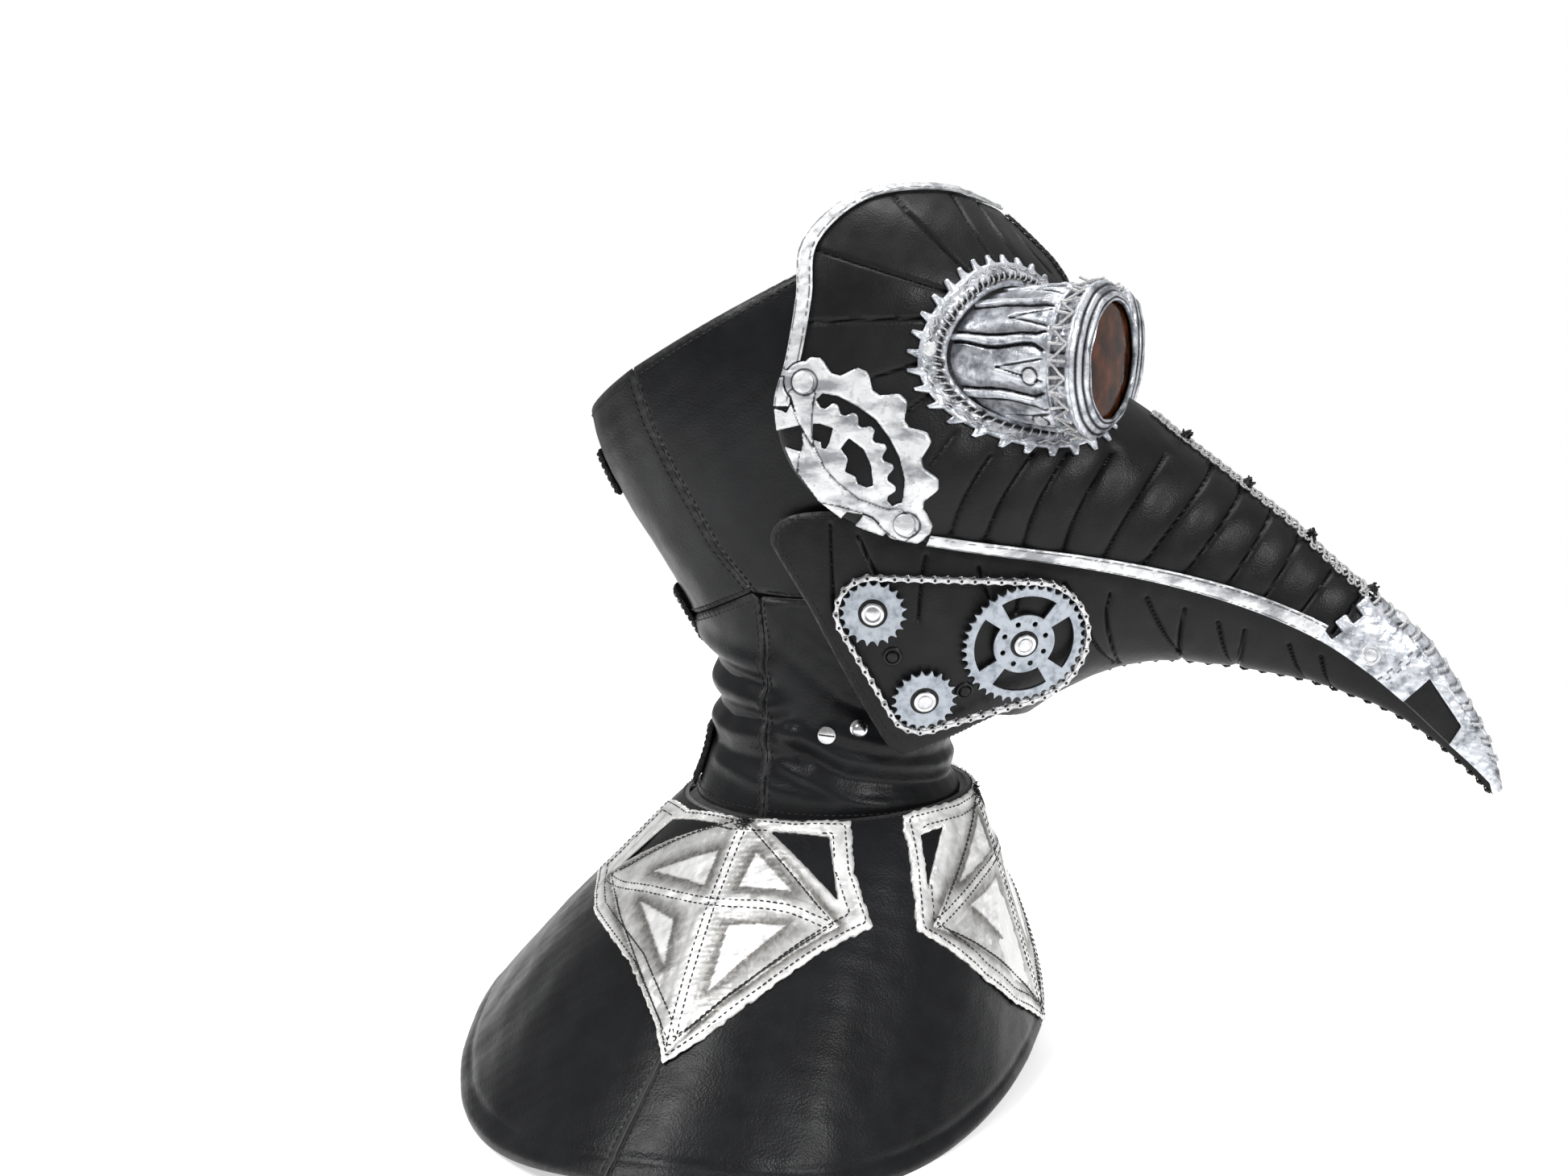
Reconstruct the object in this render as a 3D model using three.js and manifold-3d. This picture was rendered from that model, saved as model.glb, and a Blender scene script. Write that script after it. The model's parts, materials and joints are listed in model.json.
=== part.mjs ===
// A steampunk plague doctor mask in black leather: a beaked upper mask, a hinged lower jaw with a chain
// drive on each cheek, goggles on toothed rings, a hood that closes at the back with three tabs, and a
// shoulder collar. Millimetres, +Z up. The beak points along -Y and the wearer's right side is -X. The
// origin is the centre of the wearer's head at ear height. Every paired piece is made for the right
// side and mirrored across the plane X = 0.
import * as THREE from "three";
import { mergeVertices } from "three/addons/utils/BufferGeometryUtils.js";
import Module from "manifold-3d";

const wasm = await Module();
wasm.setup();

// ---- Driving dimensions -----------------------------------------
const GAP = 0.4; // between pieces that lie on or beside each other
const MASK_GRID = [24, 5]; // facets of the mask along and across each half
const MASK_LEATHER = 2.4; // moulded leather of the mask and jaw
const SOFT_LEATHER = 1.8; // garment leather of the hood and collar
const TRIM_LEATHER = 1.1; // silver strips and plates laid on the mask
const CENTRE_GAP = 0.25; // from each half to the middle plane
const REACH = 400; // longer than any cutting tool needs to be

const TRIM_WIDTH = 7.5;
const STRIP_LIFT = 0.9; // of the edge strips above the mask's face
const ARMOUR_START = 0.765; // share of the beak's length where the tip plate begins
const ARMOUR_TOOTH = 4.6;

const GOGGLE_BASE = [-44, -93, 40];
const GOGGLE_SPLAY = 18; // degrees outwards from straight ahead
const GOGGLE_DROOP = 2; // degrees below level
const BARREL_RADIUS = 25.5;
const BARREL_MOUTH_RADIUS = 27.5;
const BARREL_WALL = 2.2;
const BARREL_LENGTH = 37; // in front of the base point
const BARREL_TAIL = 30; // length behind the base point, before it is trimmed to the face
const RIM_RADIUS = 28.4;
const RIM_DEPTH = 6;
const LENS_RADIUS = 24.6;
const LENS_THICKNESS = 2.2;
const EYE_HOLE_RADIUS = 21;
const BASE_RING_RADIUS = 31.6;
const BASE_RING_TEETH = 32;
const BASE_RING_TOOTH = 3.4;

const CHEEK_CENTRE = [-28, -6]; // y, z of the half gear on the cheek
const CHEEK_TEETH = 17;
const CHEEK_TIP_RADIUS = 45.7;
const CHEEK_ROOT_RADIUS = 41;
const CHEEK_WINDOW_RADIUS = 36;
const INNER_TEETH = 25;
const INNER_TIP_RADIUS = 31;
const INNER_ROOT_RADIUS = 28.4;
const CHEEK_RIVET = [-27.5, 31]; // y, z
const JAW_PIVOT = [-62.5, -19.5]; // y, z of the axis the jaw turns on
const CHEEK_BOSS_RADIUS = 8;

const TOOTH_PITCH = 3.65; // of the sprockets, round their pitch circles
const CHAIN_SIZE = 1.8;
const CHAIN_CLEARANCE = 1.2; // from the sprockets' teeth
const SMALL_TEETH = 20;
const RING_TEETH = 40;
const SPROCKET_THICKNESS = 1.4;
const SPROCKET_LIFT = 1.6; // from the jaw's face to the back of a sprocket
const TOOTH_HEIGHT = 1.0; // above the chain's pitch circle
const TOOTH_DEPTH = 1.3; // below it
const AXLE_RADIUS = 2.2;
const AXLE_CLEARANCE = 0.2;
const UPPER_SPROCKET = [-50, -52.5]; // y, z of each axle where it meets the jaw
const LOWER_SPROCKET = [-67, -86];
const CHAINRING = [-102, -65];

// ---- Small helpers -----------------------------------------
const V = (x, y, z) => new THREE.Vector3(x, y, z);
const rad = (degrees) => (degrees * Math.PI) / 180;
const mix = (a, b, t) => a + (b - a) * t;

// A smooth curve through rows of up to three numbers, read from 0 at the first row to 1 at the last.
function through(rows) {
  const points = rows.map((r) => V(r[0], r[1], r[2] ?? 0));
  const curve = new THREE.CatmullRomCurve3(points, false, "catmullrom", 0.5);
  return (t) => curve.getPoint(THREE.MathUtils.clamp(t, 0, 1));
}

// The unit normal of a surface (u, v) -> point.
function normalAt(surface, u, v) {
  const e = 1e-3;
  const du = surface(Math.min(u + e, 1), v).sub(surface(Math.max(u - e, 0), v));
  const dv = surface(u, Math.min(v + e, 1)).sub(surface(u, Math.max(v - e, 0)));
  return du.cross(dv).normalize();
}

// A closed sheet between two offsets of a surface, over the rectangle (u0, v0)-(u1, v1). A positive
// offset is outwards; side is 1 or -1, whichever makes the surface's normal point outwards. Offsets may
// be functions of u.
function sheet(surface, side, inner, outer, cols, rows, range = [0, 0, 1, 1]) {
  const [u0, v0, u1, v1] = range;
  const at = (offset, u) => (typeof offset === "function" ? offset(u) : offset);
  const positions = [];
  const index = [];
  const id = (layer, i, j) => (layer * (cols + 1) + i) * (rows + 1) + j;
  for (const offset of [inner, outer]) {
    for (let i = 0; i <= cols; i++) {
      for (let j = 0; j <= rows; j++) {
        const u = mix(u0, u1, i / cols);
        const v = mix(v0, v1, j / rows);
        const n = normalAt(surface, u, v).multiplyScalar(side * at(offset, u));
        const p = surface(u, v).add(n);
        positions.push(p.x, p.y, p.z);
      }
    }
  }
  const quad = (a, b, c, d) => index.push(a, b, c, a, c, d);
  for (let i = 0; i < cols; i++) {
    for (let j = 0; j < rows; j++) {
      quad(id(1, i, j), id(1, i + 1, j), id(1, i + 1, j + 1), id(1, i, j + 1));
      quad(id(0, i, j), id(0, i, j + 1), id(0, i + 1, j + 1), id(0, i + 1, j));
    }
  }
  for (let i = 0; i < cols; i++) {
    quad(id(0, i, 0), id(0, i + 1, 0), id(1, i + 1, 0), id(1, i, 0));
    quad(id(1, i, rows), id(1, i + 1, rows), id(0, i + 1, rows), id(0, i, rows));
  }
  for (let j = 0; j < rows; j++) {
    quad(id(1, 0, j), id(1, 0, j + 1), id(0, 0, j + 1), id(0, 0, j));
    quad(id(0, cols, j), id(0, cols, j + 1), id(1, cols, j + 1), id(1, cols, j));
  }
  const geometry = new THREE.BufferGeometry();
  geometry.setAttribute("position", new THREE.Float32BufferAttribute(positions, 3));
  geometry.setIndex(index);
  if (side < 0) turnInsideOut(geometry);
  return solid(geometry);
}

function turnInsideOut(geometry) {
  const order = geometry.index.array;
  for (let i = 0; i < order.length; i += 3) [order[i + 1], order[i + 2]] = [order[i + 2], order[i + 1]];
  return geometry;
}

// A closed geometry as a manifold-3d solid, and back.
function solid(geometry) {
  const bare = new THREE.BufferGeometry();
  bare.setAttribute("position", geometry.getAttribute("position"));
  bare.setIndex(geometry.index);
  const merged = mergeVertices(bare, 1e-4);
  return new wasm.Manifold(
    new wasm.Mesh({
      numProp: 3,
      vertProperties: merged.getAttribute("position").array,
      triVerts: new Uint32Array(merged.index.array),
    }),
  );
}

function geometryOf(manifold) {
  const { vertProperties, triVerts } = largest(manifold).getMesh();
  const geometry = new THREE.BufferGeometry();
  geometry.setAttribute("position", new THREE.Float32BufferAttribute(vertProperties, 3));
  geometry.setIndex(Array.from(triVerts));
  return geometry;
}

// The biggest piece of a cut, without its crumbs.
function largest(manifold) {
  return manifold.decompose().sort((a, b) => b.volume() - a.volume())[0];
}

// A plane shape swept from z0 to z1 of a frame { origin, x, y, z }.
function prism(shape, frame, z0, z1, curveSegments = 12) {
  const geometry = new THREE.ExtrudeGeometry(shape, { depth: z1 - z0, bevelEnabled: false, curveSegments });
  geometry.translate(0, 0, z0);
  geometry.applyMatrix4(matrixOf(frame));
  return solid(geometry);
}

function matrixOf({ origin, x, y, z }) {
  return new THREE.Matrix4().makeBasis(x, y, z).setPosition(origin);
}

// A frame at a point whose z looks along a direction and whose y is as near up as it can be.
function frameFacing(origin, direction) {
  const z = direction.clone().normalize();
  const x = V(0, 0, 1).cross(z).normalize();
  return { origin, x, y: z.clone().cross(x), z };
}

// Shapes given as (y, z) of the side view are swept along X through the right half.
const SIDE_VIEW = { origin: V(0, 0, 0), x: V(0, 1, 0), y: V(0, 0, 1), z: V(1, 0, 0) };

function polygon(points) {
  return new THREE.Shape(points.map(([x, y]) => new THREE.Vector2(x, y)));
}

function disc(x, y, radius) {
  const shape = new THREE.Shape();
  shape.absarc(x, y, radius, 0, 2 * Math.PI);
  return shape;
}

// A solid of revolution about a frame's z axis, from [radius, height] rows that start and end on the
// axis or close on themselves.
function turned(profile, frame, segments = 32) {
  const geometry = new THREE.LatheGeometry(
    profile.map(([r, z]) => new THREE.Vector2(r, z)),
    segments,
  );
  geometry.rotateX(Math.PI / 2);
  geometry.applyMatrix4(matrixOf(frame));
  const made = solid(geometry);
  return made.volume() < 0 ? solid(turnInsideOut(mergeVertices(bareOf(geometry), 1e-4))) : made;
}

function bareOf(geometry) {
  const bare = new THREE.BufferGeometry();
  bare.setAttribute("position", geometry.getAttribute("position"));
  bare.setIndex(geometry.index);
  return bare;
}

function rod(frame, radius, z0, z1, segments = 32) {
  return turned([[0, z0], [radius, z0], [radius, z1], [0, z1]], frame, segments);
}

// A gear outline about (0, 0): each tooth is a bump whose root and flat tip are given as shares of the
// tooth pitch, or a spike when it has no tip share.
function gearShape(teeth, rootRadius, tipRadius, rootShare, tipShare = 0, phase = 0) {
  const points = [];
  const pitch = (2 * Math.PI) / teeth;
  for (let k = 0; k < teeth; k++) {
    const middle = phase + k * pitch;
    for (const [share, radius] of [
      [-rootShare / 2, rootRadius],
      ...(tipShare ? [[-tipShare / 2, tipRadius], [tipShare / 2, tipRadius]] : [[0, tipRadius]]),
      [rootShare / 2, rootRadius],
    ]) {
      const a = middle + share * pitch;
      points.push([radius * Math.cos(a), radius * Math.sin(a)]);
    }
  }
  return polygon(points);
}

// A window between two radii and two angles.
function arcWindow(inner, outer, from, to) {
  const hole = new THREE.Path();
  hole.absarc(0, 0, outer, from, to, false);
  hole.absarc(0, 0, inner, to, from, true);
  hole.closePath();
  return hole;
}

// ---- The mask's upper half: a leaf between the ridge in the middle plane and the outer edge ------------
// Each row is a cross-section from the crown (first) to the beak's tip (last).
const RIDGE = [
  [-85, 94], [-92, 88], [-100, 80.5], [-107, 73], [-112, 64], [-111, 53], [-113, 43], [-121, 33.5],
  [-130, 27], [-139, 21.5], [-147, 16], [-155, 9.5], [-164, 3], [-174, -4.5], [-185, -13], [-197, -22],
  [-210, -34], [-223, -45], [-236, -56], [-249, -67.5], [-262, -86], [-272, -104], [-278, -122],
];
const MASK_EDGE = [
  [-3, -84.5, 94.6], [-30, -66, 101], [-57, -41, 96.5], [-72, -25, 80], [-78, -24, 60], [-80, -21, 40],
  [-80, -16.5, 22], [-78, -21, 2], [-75, -36, -15], [-69, -54, -24], [-62, -75, -28.5], [-54, -96, -32],
  [-46, -117, -35.5], [-38.5, -137, -39.5], [-31.5, -157, -44.5], [-25, -176, -50.5], [-20, -194, -57.5],
  [-16, -211, -66], [-12.5, -227, -77], [-9.5, -242, -89.5], [-6.5, -256, -102.5], [-4, -267.5, -113],
  [-1.8, -277, -122.6],
];
const ridgeCurve = through(RIDGE);
const maskEdgeCurve = through(MASK_EDGE);

function maskSurface(u, t) {
  const ridge = ridgeCurve(u);
  const edge = maskEdgeCurve(u);
  const across = Math.sin((t * Math.PI) / 2);
  const along = 1 - Math.cos((t * Math.PI) / 2);
  const x = mix(-CENTRE_GAP, edge.x, across);
  return V(x, mix(ridge.x, edge.y, along), mix(ridge.y, edge.z, along));
}

// The leather thins where the beak is too narrow for its full thickness.
const maskThickness = (u) => -Math.min(MASK_LEATHER, 0.45 * -maskEdgeCurve(u).x);

// A layer of the mask between two of its facet rows, so that layers over one another stay parallel.
function maskLayer(inner, outer, first = 0, last = MASK_GRID[0]) {
  const [cols, rows] = MASK_GRID;
  return sheet(maskSurface, -1, inner, outer, last - first, rows, [first / cols, 0, last / cols, 1]);
}

// ---- The lower jaw: sections from its upper edge, inside the mask, round to the middle underneath ------
// Each row is a cross-section from the rear flap (first) to the tip (last).
const JAW_EDGE = [
  [-70, -2, -12], [-71.2, -20, -12], [-69.5, -38, -14], [-65.5, -56, -18], [-59, -75, -23],
  [-51.5, -94, -27], [-43.5, -114, -30.5], [-36, -134, -34], [-29, -154, -38.5], [-22, -174, -44.5],
  [-16.8, -193, -52], [-12.5, -211, -61], [-9.2, -227, -72], [-6.3, -242, -84.5], [-3.6, -256, -98.5],
  [-1.7, -267, -110], [-0.9, -274, -119],
];
const JAW_KEEL = [
  [-62, -150], [-70, -138], [-79, -126], [-88, -114], [-98, -104], [-109, -95], [-122, -87], [-136, -81],
  [-152, -78], [-170, -78.5], [-188, -80.5], [-206, -83.5], [-223, -88.5], [-239, -95], [-254, -105],
  [-267, -116], [-275.5, -124.5],
];
const JAW_FULLNESS = 0.8; // under 1, the section is fuller than an ellipse
const jawEdgeCurve = through(JAW_EDGE);
const jawKeelCurve = through(JAW_KEEL);

function jawSurface(u, s) {
  const edge = jawEdgeCurve(u);
  const keel = jawKeelCurve(u);
  const across = Math.max(Math.cos((s * Math.PI) / 2), 0) ** JAW_FULLNESS;
  const along = Math.sin((s * Math.PI) / 2);
  return V(mix(-CENTRE_GAP, edge.x, across), mix(edge.y, keel.x, along), mix(edge.z, keel.y, along));
}

const jawThickness = (u) => -Math.min(MASK_LEATHER, 0.45 * -jawEdgeCurve(u).x);

// The jaw's outline in the side view: the rounded lobe behind the cheek, the slanting rear edge and the
// chin.
function jawOutline() {
  const shape = new THREE.Shape();
  shape.moveTo(-300, 0);
  shape.lineTo(-60, 0);
  shape.lineTo(-40, -16);
  shape.quadraticCurveTo(-10, -15, -12, -29);
  shape.lineTo(-26, -52);
  shape.lineTo(-50, -100);
  shape.quadraticCurveTo(-55, -112, -62, -111);
  shape.lineTo(-92, -97);
  shape.lineTo(-300, -160);
  return shape;
}

// ---- The hood and neck: flattened rings at each height -----------------------------------------
// [height, half width, back of the ring, front of the ring]
const HOOD_RINGS = [
  [80, 67, 78, -100], [60, 72.5, 82, -100], [40, 74, 82, -100], [20, 72.5, 79, -100], [0, 68.5, 74, -98],
  [-20, 64, 64, -96], [-40, 59, 52, -92], [-60, 52.5, 40, -84], [-80, 48, 29, -74], [-100, 46.5, 27, -69.5],
  [-120, 47, 29.5, -69], [-140, 50.5, 36.5, -73],
];
const HOOD_TOP = HOOD_RINGS[0][0];
const HOOD_FOOT = HOOD_RINGS[HOOD_RINGS.length - 1][0];
const ringCurve = through(HOOD_RINGS.map((r) => r.slice(1)));

// share runs round the ring: 0 at the middle of the back, 0.5 at the front, the right side between them.
function hoodSurface(share, down) {
  const ring = ringCurve(down);
  const a = share * 2 * Math.PI;
  const y = (ring.y + ring.z) / 2 + ((ring.y - ring.z) / 2) * Math.cos(a);
  return V(-ring.x * Math.sin(a), y, mix(HOOD_TOP, HOOD_FOOT, down));
}

const downOf = (z) => (HOOD_TOP - z) / (HOOD_TOP - HOOD_FOOT);
const HOOD_GRID = [14, 11];
const hoodLayer = (inner, outer, from, to) =>
  sheet(
    hoodSurface, -1, inner, outer, Math.round((to - from) * 2 * HOOD_GRID[0]), HOOD_GRID[1],
    [from, 0, to, 1],
  );

// ---- The collar: from a ring round the neck to an elliptical hem ---------------------------------------
const COLLAR_TOP = { halfWidth: 54, back: 40, front: -77.5, sideZ: -136.5, tilt: 3 };
const COLLAR_HEM = { halfWidth: 165, back: 128, front: -110, z: -238, ripple: 5 };

// share runs round the collar as on the hood; s runs from the neck to the hem.
function collarSurface(share, s) {
  const a = share * 2 * Math.PI;
  const ring = (r) => [
    -r.halfWidth * Math.sin(a),
    (r.back + r.front) / 2 + ((r.back - r.front) / 2) * Math.cos(a),
  ];
  const [x0, y0] = ring(COLLAR_TOP);
  const [x1, y1] = ring(COLLAR_HEM);
  const z0 = COLLAR_TOP.sideZ - COLLAR_TOP.tilt * Math.cos(a);
  const z1 = COLLAR_HEM.z + COLLAR_HEM.ripple * Math.cos(4 * a);
  const flare = s + 0.12 * s * (1 - s);
  return V(mix(x0, x1, flare), mix(y0, y1, flare), mix(z0, z1, s));
}

// The collar's four panels, numbered from the back round the wearer's right side; q is 1 at the right
// shoulder seam, 2 at the front and 3 at the left shoulder seam. Every panel has the same facets, so
// layers on it stay parallel.
const SHOULDER_SEAM = 0.232;
const SEAM_SHARES = [-SHOULDER_SEAM, 0, SHOULDER_SEAM, 0.5, 1 - SHOULDER_SEAM, 1];
const PANEL_GRID = [9, 5];

function panelSurface(q, s) {
  const k = THREE.MathUtils.clamp(Math.floor(q) + 1, 0, 4);
  return collarSurface(mix(SEAM_SHARES[k], SEAM_SHARES[k + 1], q + 1 - k), s);
}

function collarLayer(inner, outer, from, to) {
  const cols = Math.round((to - from) * PANEL_GRID[0]);
  const surface = (w, s) => panelSurface(mix(from, to, w), s);
  return sheet(surface, -1, inner, outer, cols, PANEL_GRID[1]);
}

// ---- Frames on the surfaces -----------------------------------------
// The (u, v) where a surface passes over a side-view point (y, z), found by Newton's method.
function findUV(surface, y, z, u, v) {
  const e = 1e-4;
  for (let step = 0; step < 20; step++) {
    const p = surface(u, v);
    const pu = surface(u + e, v).sub(p).divideScalar(e);
    const pv = surface(u, v + e).sub(p).divideScalar(e);
    const det = pu.y * pv.z - pu.z * pv.y;
    const dy = y - p.y;
    const dz = z - p.z;
    u = THREE.MathUtils.clamp(u + (dy * pv.z - dz * pv.y) / det, 0.01, 0.99);
    v = THREE.MathUtils.clamp(v + (dz * pu.y - dy * pu.z) / det, 0.01, 0.99);
  }
  return [u, v];
}

function frameOn(surface, side, [y, z], guess) {
  const [u, v] = findUV(surface, y, z, ...guess);
  return frameFacing(surface(u, v), normalAt(surface, u, v).multiplyScalar(side));
}

const sideFrame = ([y, z], x) => ({ origin: V(x, y, z), x: V(0, -1, 0), y: V(0, 0, 1), z: V(-1, 0, 0) });

const splay = rad(GOGGLE_SPLAY);
const droop = rad(GOGGLE_DROOP);
const goggleAxis = V(-Math.sin(splay) * Math.cos(droop), -Math.cos(splay) * Math.cos(droop), -Math.sin(droop));
const goggle = frameFacing(V(...GOGGLE_BASE), goggleAxis);

const upperSprocket = frameOn(jawSurface, -1, UPPER_SPROCKET, [0.2, 0.4]);
const lowerSprocket = frameOn(jawSurface, -1, LOWER_SPROCKET, [0.2, 0.6]);
const chainring = frameOn(jawSurface, -1, CHAINRING, [0.3, 0.5]);

// ---- Pieces of the upper mask -----------------------------------------
function maskShell() {
  return maskLayer(maskThickness, 0)
    .subtract(rod(goggle, EYE_HOLE_RADIUS, -REACH / 4, REACH / 4, 20))
    .subtract(rivetHole(JAW_PIVOT))
    .subtract(rivetHole(CHEEK_RIVET));
}

const rivetHole = (at) => rod(sideFrame(at, 0), AXLE_RADIUS + AXLE_CLEARANCE, 0, REACH, 10);
const bossHole = (at) => rod(sideFrame(at, 0), CHEEK_BOSS_RADIUS + GAP, 0, REACH, 16);

// A silver strip along the mask's edge between two of its facet rows, cut clear of the cheek gear.
function edgeStrip(first, last) {
  const strip = (u, w) => {
    const ridge = ridgeCurve(u);
    const edge = maskEdgeCurve(u);
    const length = Math.hypot(edge.x, edge.y - ridge.x, edge.z - ridge.y) * (Math.PI / 2);
    return maskSurface(u, 1 - Math.min(0.6, TRIM_WIDTH / length) * (1 - w));
  };
  const [from, to] = [first / MASK_GRID[0], last / MASK_GRID[0]];
  return sheet(strip, -1, STRIP_LIFT, STRIP_LIFT + TRIM_LEATHER, last - first, 1, [from, 0, to, 1])
    .subtract(prism(disc(...CHEEK_CENTRE, CHEEK_TIP_RADIUS + GAP), SIDE_VIEW, -REACH, 0, 12))
    .subtract(bossHole(JAW_PIVOT))
    .subtract(bossHole(CHEEK_RIVET));
}

// The silver plate over the beak's tip, with a toothed rear edge, a window and a rivet.
function tipArmour() {
  const start = maskSurface(ARMOUR_START, 1);
  const top = maskSurface(ARMOUR_START, 0);
  const length = Math.hypot(top.y - start.y, top.z - start.z);
  const along = V(0, top.y - start.y, top.z - start.z).normalize();
  const forward = V(0, along.z, -along.y).multiplyScalar(-1);
  const point = (a, b) => [start.y + along.y * a + forward.y * b, start.z + along.z * a + forward.z * b];
  const rear = [point(-20, 0)];
  for (let a = 0, out = 0; a < length + 3 * ARMOUR_TOOTH; a += ARMOUR_TOOTH, out = 1 - out) {
    rear.push(point(a, out ? ARMOUR_TOOTH : 0), point(a + ARMOUR_TOOTH, out ? ARMOUR_TOOTH : 0));
  }
  const outline = polygon([
    ...rear, point(length + 40, 0), point(length + 40, 160), point(-60, 160), point(-60, 0),
  ]);
  const window = polygon([[-233, -95], [-249.5, -79.5], [-262, -97.5], [-256, -108]]);
  return maskLayer(GAP, GAP + TRIM_LEATHER, 17)
    .intersect(prism(outline, SIDE_VIEW, -REACH / 4, 0))
    .subtract(prism(window, SIDE_VIEW, -REACH / 4, 0));
}

// The toothed ring that the goggle stands on, curved to the face.
function baseRing() {
  const outline = gearShape(BASE_RING_TEETH, BASE_RING_RADIUS, BASE_RING_RADIUS + BASE_RING_TOOTH, 0.6);
  outline.holes.push(disc(0, 0, BARREL_RADIUS + 2 * GAP));
  return maskLayer(GAP, GAP + TRIM_LEATHER + 0.3, 1, 14).intersect(
    prism(outline, goggle, -REACH / 5, REACH / 5, 12),
  );
}

function barrel() {
  const base = BARREL_RADIUS;
  const bore = BARREL_RADIUS - BARREL_WALL;
  const mouthBore = BARREL_MOUTH_RADIUS - BARREL_WALL;
  const tube = turned(
    [
      [base, -BARREL_TAIL], [base, BARREL_LENGTH * 0.85], [BARREL_MOUTH_RADIUS, BARREL_LENGTH],
      [mouthBore, BARREL_LENGTH], [bore, BARREL_LENGTH * 0.85], [bore, -BARREL_TAIL], [base, -BARREL_TAIL],
    ],
    goggle,
    20,
  );
  return tube.subtract(maskLayer(-34, GAP, 1, 14));
}

// The ring that clamps the lens onto the barrel's mouth.
function rim() {
  const z = BARREL_LENGTH + GAP;
  return turned(
    [
      [RIM_RADIUS, z], [RIM_RADIUS, z + RIM_DEPTH * 0.7], [RIM_RADIUS - 1.5, z + RIM_DEPTH],
      [LENS_RADIUS - 1.2, z + RIM_DEPTH], [LENS_RADIUS - 1.2, z + RIM_DEPTH * 0.6],
      [LENS_RADIUS + GAP, z + RIM_DEPTH * 0.6], [LENS_RADIUS + GAP, z], [RIM_RADIUS, z],
    ],
    goggle,
    20,
  );
}

function lens() {
  const z = BARREL_LENGTH + GAP + 0.6;
  return rod(goggle, LENS_RADIUS, z, z + LENS_THICKNESS, 20);
}

// The half gear on the cheek: a toothed rim with a boss at each end, a smaller gear inside it, and a
// curved lever from boss to boss that joins them.
function cheekGear() {
  const frame = { ...SIDE_VIEW, origin: V(0, ...CHEEK_CENTRE) };
  const flat = (shape, at = SIDE_VIEW, segments = 8) => prism(shape, at, -REACH, 0, segments);
  const rim = gearShape(CHEEK_TEETH, CHEEK_ROOT_RADIUS, CHEEK_TIP_RADIUS, 0.62, 0.34, 0.02);
  rim.holes.push(disc(0, 0, CHEEK_WINDOW_RADIUS));
  const inner = gearShape(INNER_TEETH, INNER_ROOT_RADIUS, INNER_TIP_RADIUS, 0.7, 0.3, -0.02);
  for (const [from, to] of [[100, 132], [148, 180], [196, 228]]) {
    inner.holes.push(arcWindow(16, 24, rad(from), rad(to)));
  }
  const front = new THREE.Shape();
  front.moveTo(CHEEK_RIVET[0], CHEEK_RIVET[1]);
  front.quadraticCurveTo(-22, -12, JAW_PIVOT[0], JAW_PIVOT[1]);
  front.lineTo(-100, -10);
  front.lineTo(-100, 60);
  const lever = new THREE.Shape();
  lever.moveTo(CHEEK_RIVET[0] + 5, CHEEK_RIVET[1]);
  lever.quadraticCurveTo(-16, -22, JAW_PIVOT[0] + 2, JAW_PIVOT[1] - 6);
  lever.lineTo(JAW_PIVOT[0], JAW_PIVOT[1] + 5);
  lever.quadraticCurveTo(-32, -8, CHEEK_RIVET[0] - 5, CHEEK_RIVET[1]);
  return maskLayer(GAP, GAP + TRIM_LEATHER, 3, 13)
    .intersect(
      flat(rim, frame, 16)
        .add(flat(inner, frame).intersect(flat(front)))
        .add(flat(disc(...CHEEK_RIVET, CHEEK_BOSS_RADIUS)))
        .add(flat(disc(...JAW_PIVOT, CHEEK_BOSS_RADIUS)))
        .add(flat(lever)),
    )
    .subtract(rod(goggle, BASE_RING_RADIUS + BASE_RING_TOOTH + GAP, -REACH / 4, REACH / 4, 20))
    .subtract(rivetHole(JAW_PIVOT))
    .subtract(rivetHole(CHEEK_RIVET));
}

// A rivet along X whose shank runs from inside the leathers to a domed head outside them.
function cheekRivet([y, z], x, depth) {
  const head = 3.6;
  const frame = sideFrame([y, z], x);
  return turned(
    [
      [0, -depth], [head, -depth], [head, 0.9 - depth], [AXLE_RADIUS, 0.9 - depth],
      [AXLE_RADIUS, 0], [head, 0], [head, 0.8], [head * 0.6, 1.6], [0, 1.8],
    ],
    frame,
    12,
  );
}

// ---- Pieces of the jaw -----------------------------------------
function jawShell() {
  let shell = sheet(jawSurface, -1, jawThickness, 0, 18, 5).intersect(
    prism(jawOutline(), SIDE_VIEW, -REACH, REACH),
  );
  for (const frame of [upperSprocket, lowerSprocket, chainring]) {
    shell = shell.subtract(rod(frame, AXLE_RADIUS + AXLE_CLEARANCE, -8, 8, 10));
  }
  return shell.subtract(rivetHole(JAW_PIVOT));
}

const pitchRadius = (teeth) => TOOTH_PITCH / (2 * Math.sin(Math.PI / teeth));

// A chain sprocket on its frame. The chainring has four windows between its arms.
function sprocket(frame, teeth, windows) {
  const radius = pitchRadius(teeth);
  const outline = gearShape(teeth, radius - TOOTH_DEPTH, radius + TOOTH_HEIGHT, 0.8);
  outline.holes.push(disc(0, 0, AXLE_RADIUS + AXLE_CLEARANCE));
  for (let k = 0; k < windows; k++) {
    const middle = (k * 2 * Math.PI) / windows;
    outline.holes.push(arcWindow(12.2, 18.6, middle - rad(31), middle + rad(31)));
  }
  return prism(outline, frame, SPROCKET_LIFT, SPROCKET_LIFT + SPROCKET_THICKNESS, 5);
}

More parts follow.
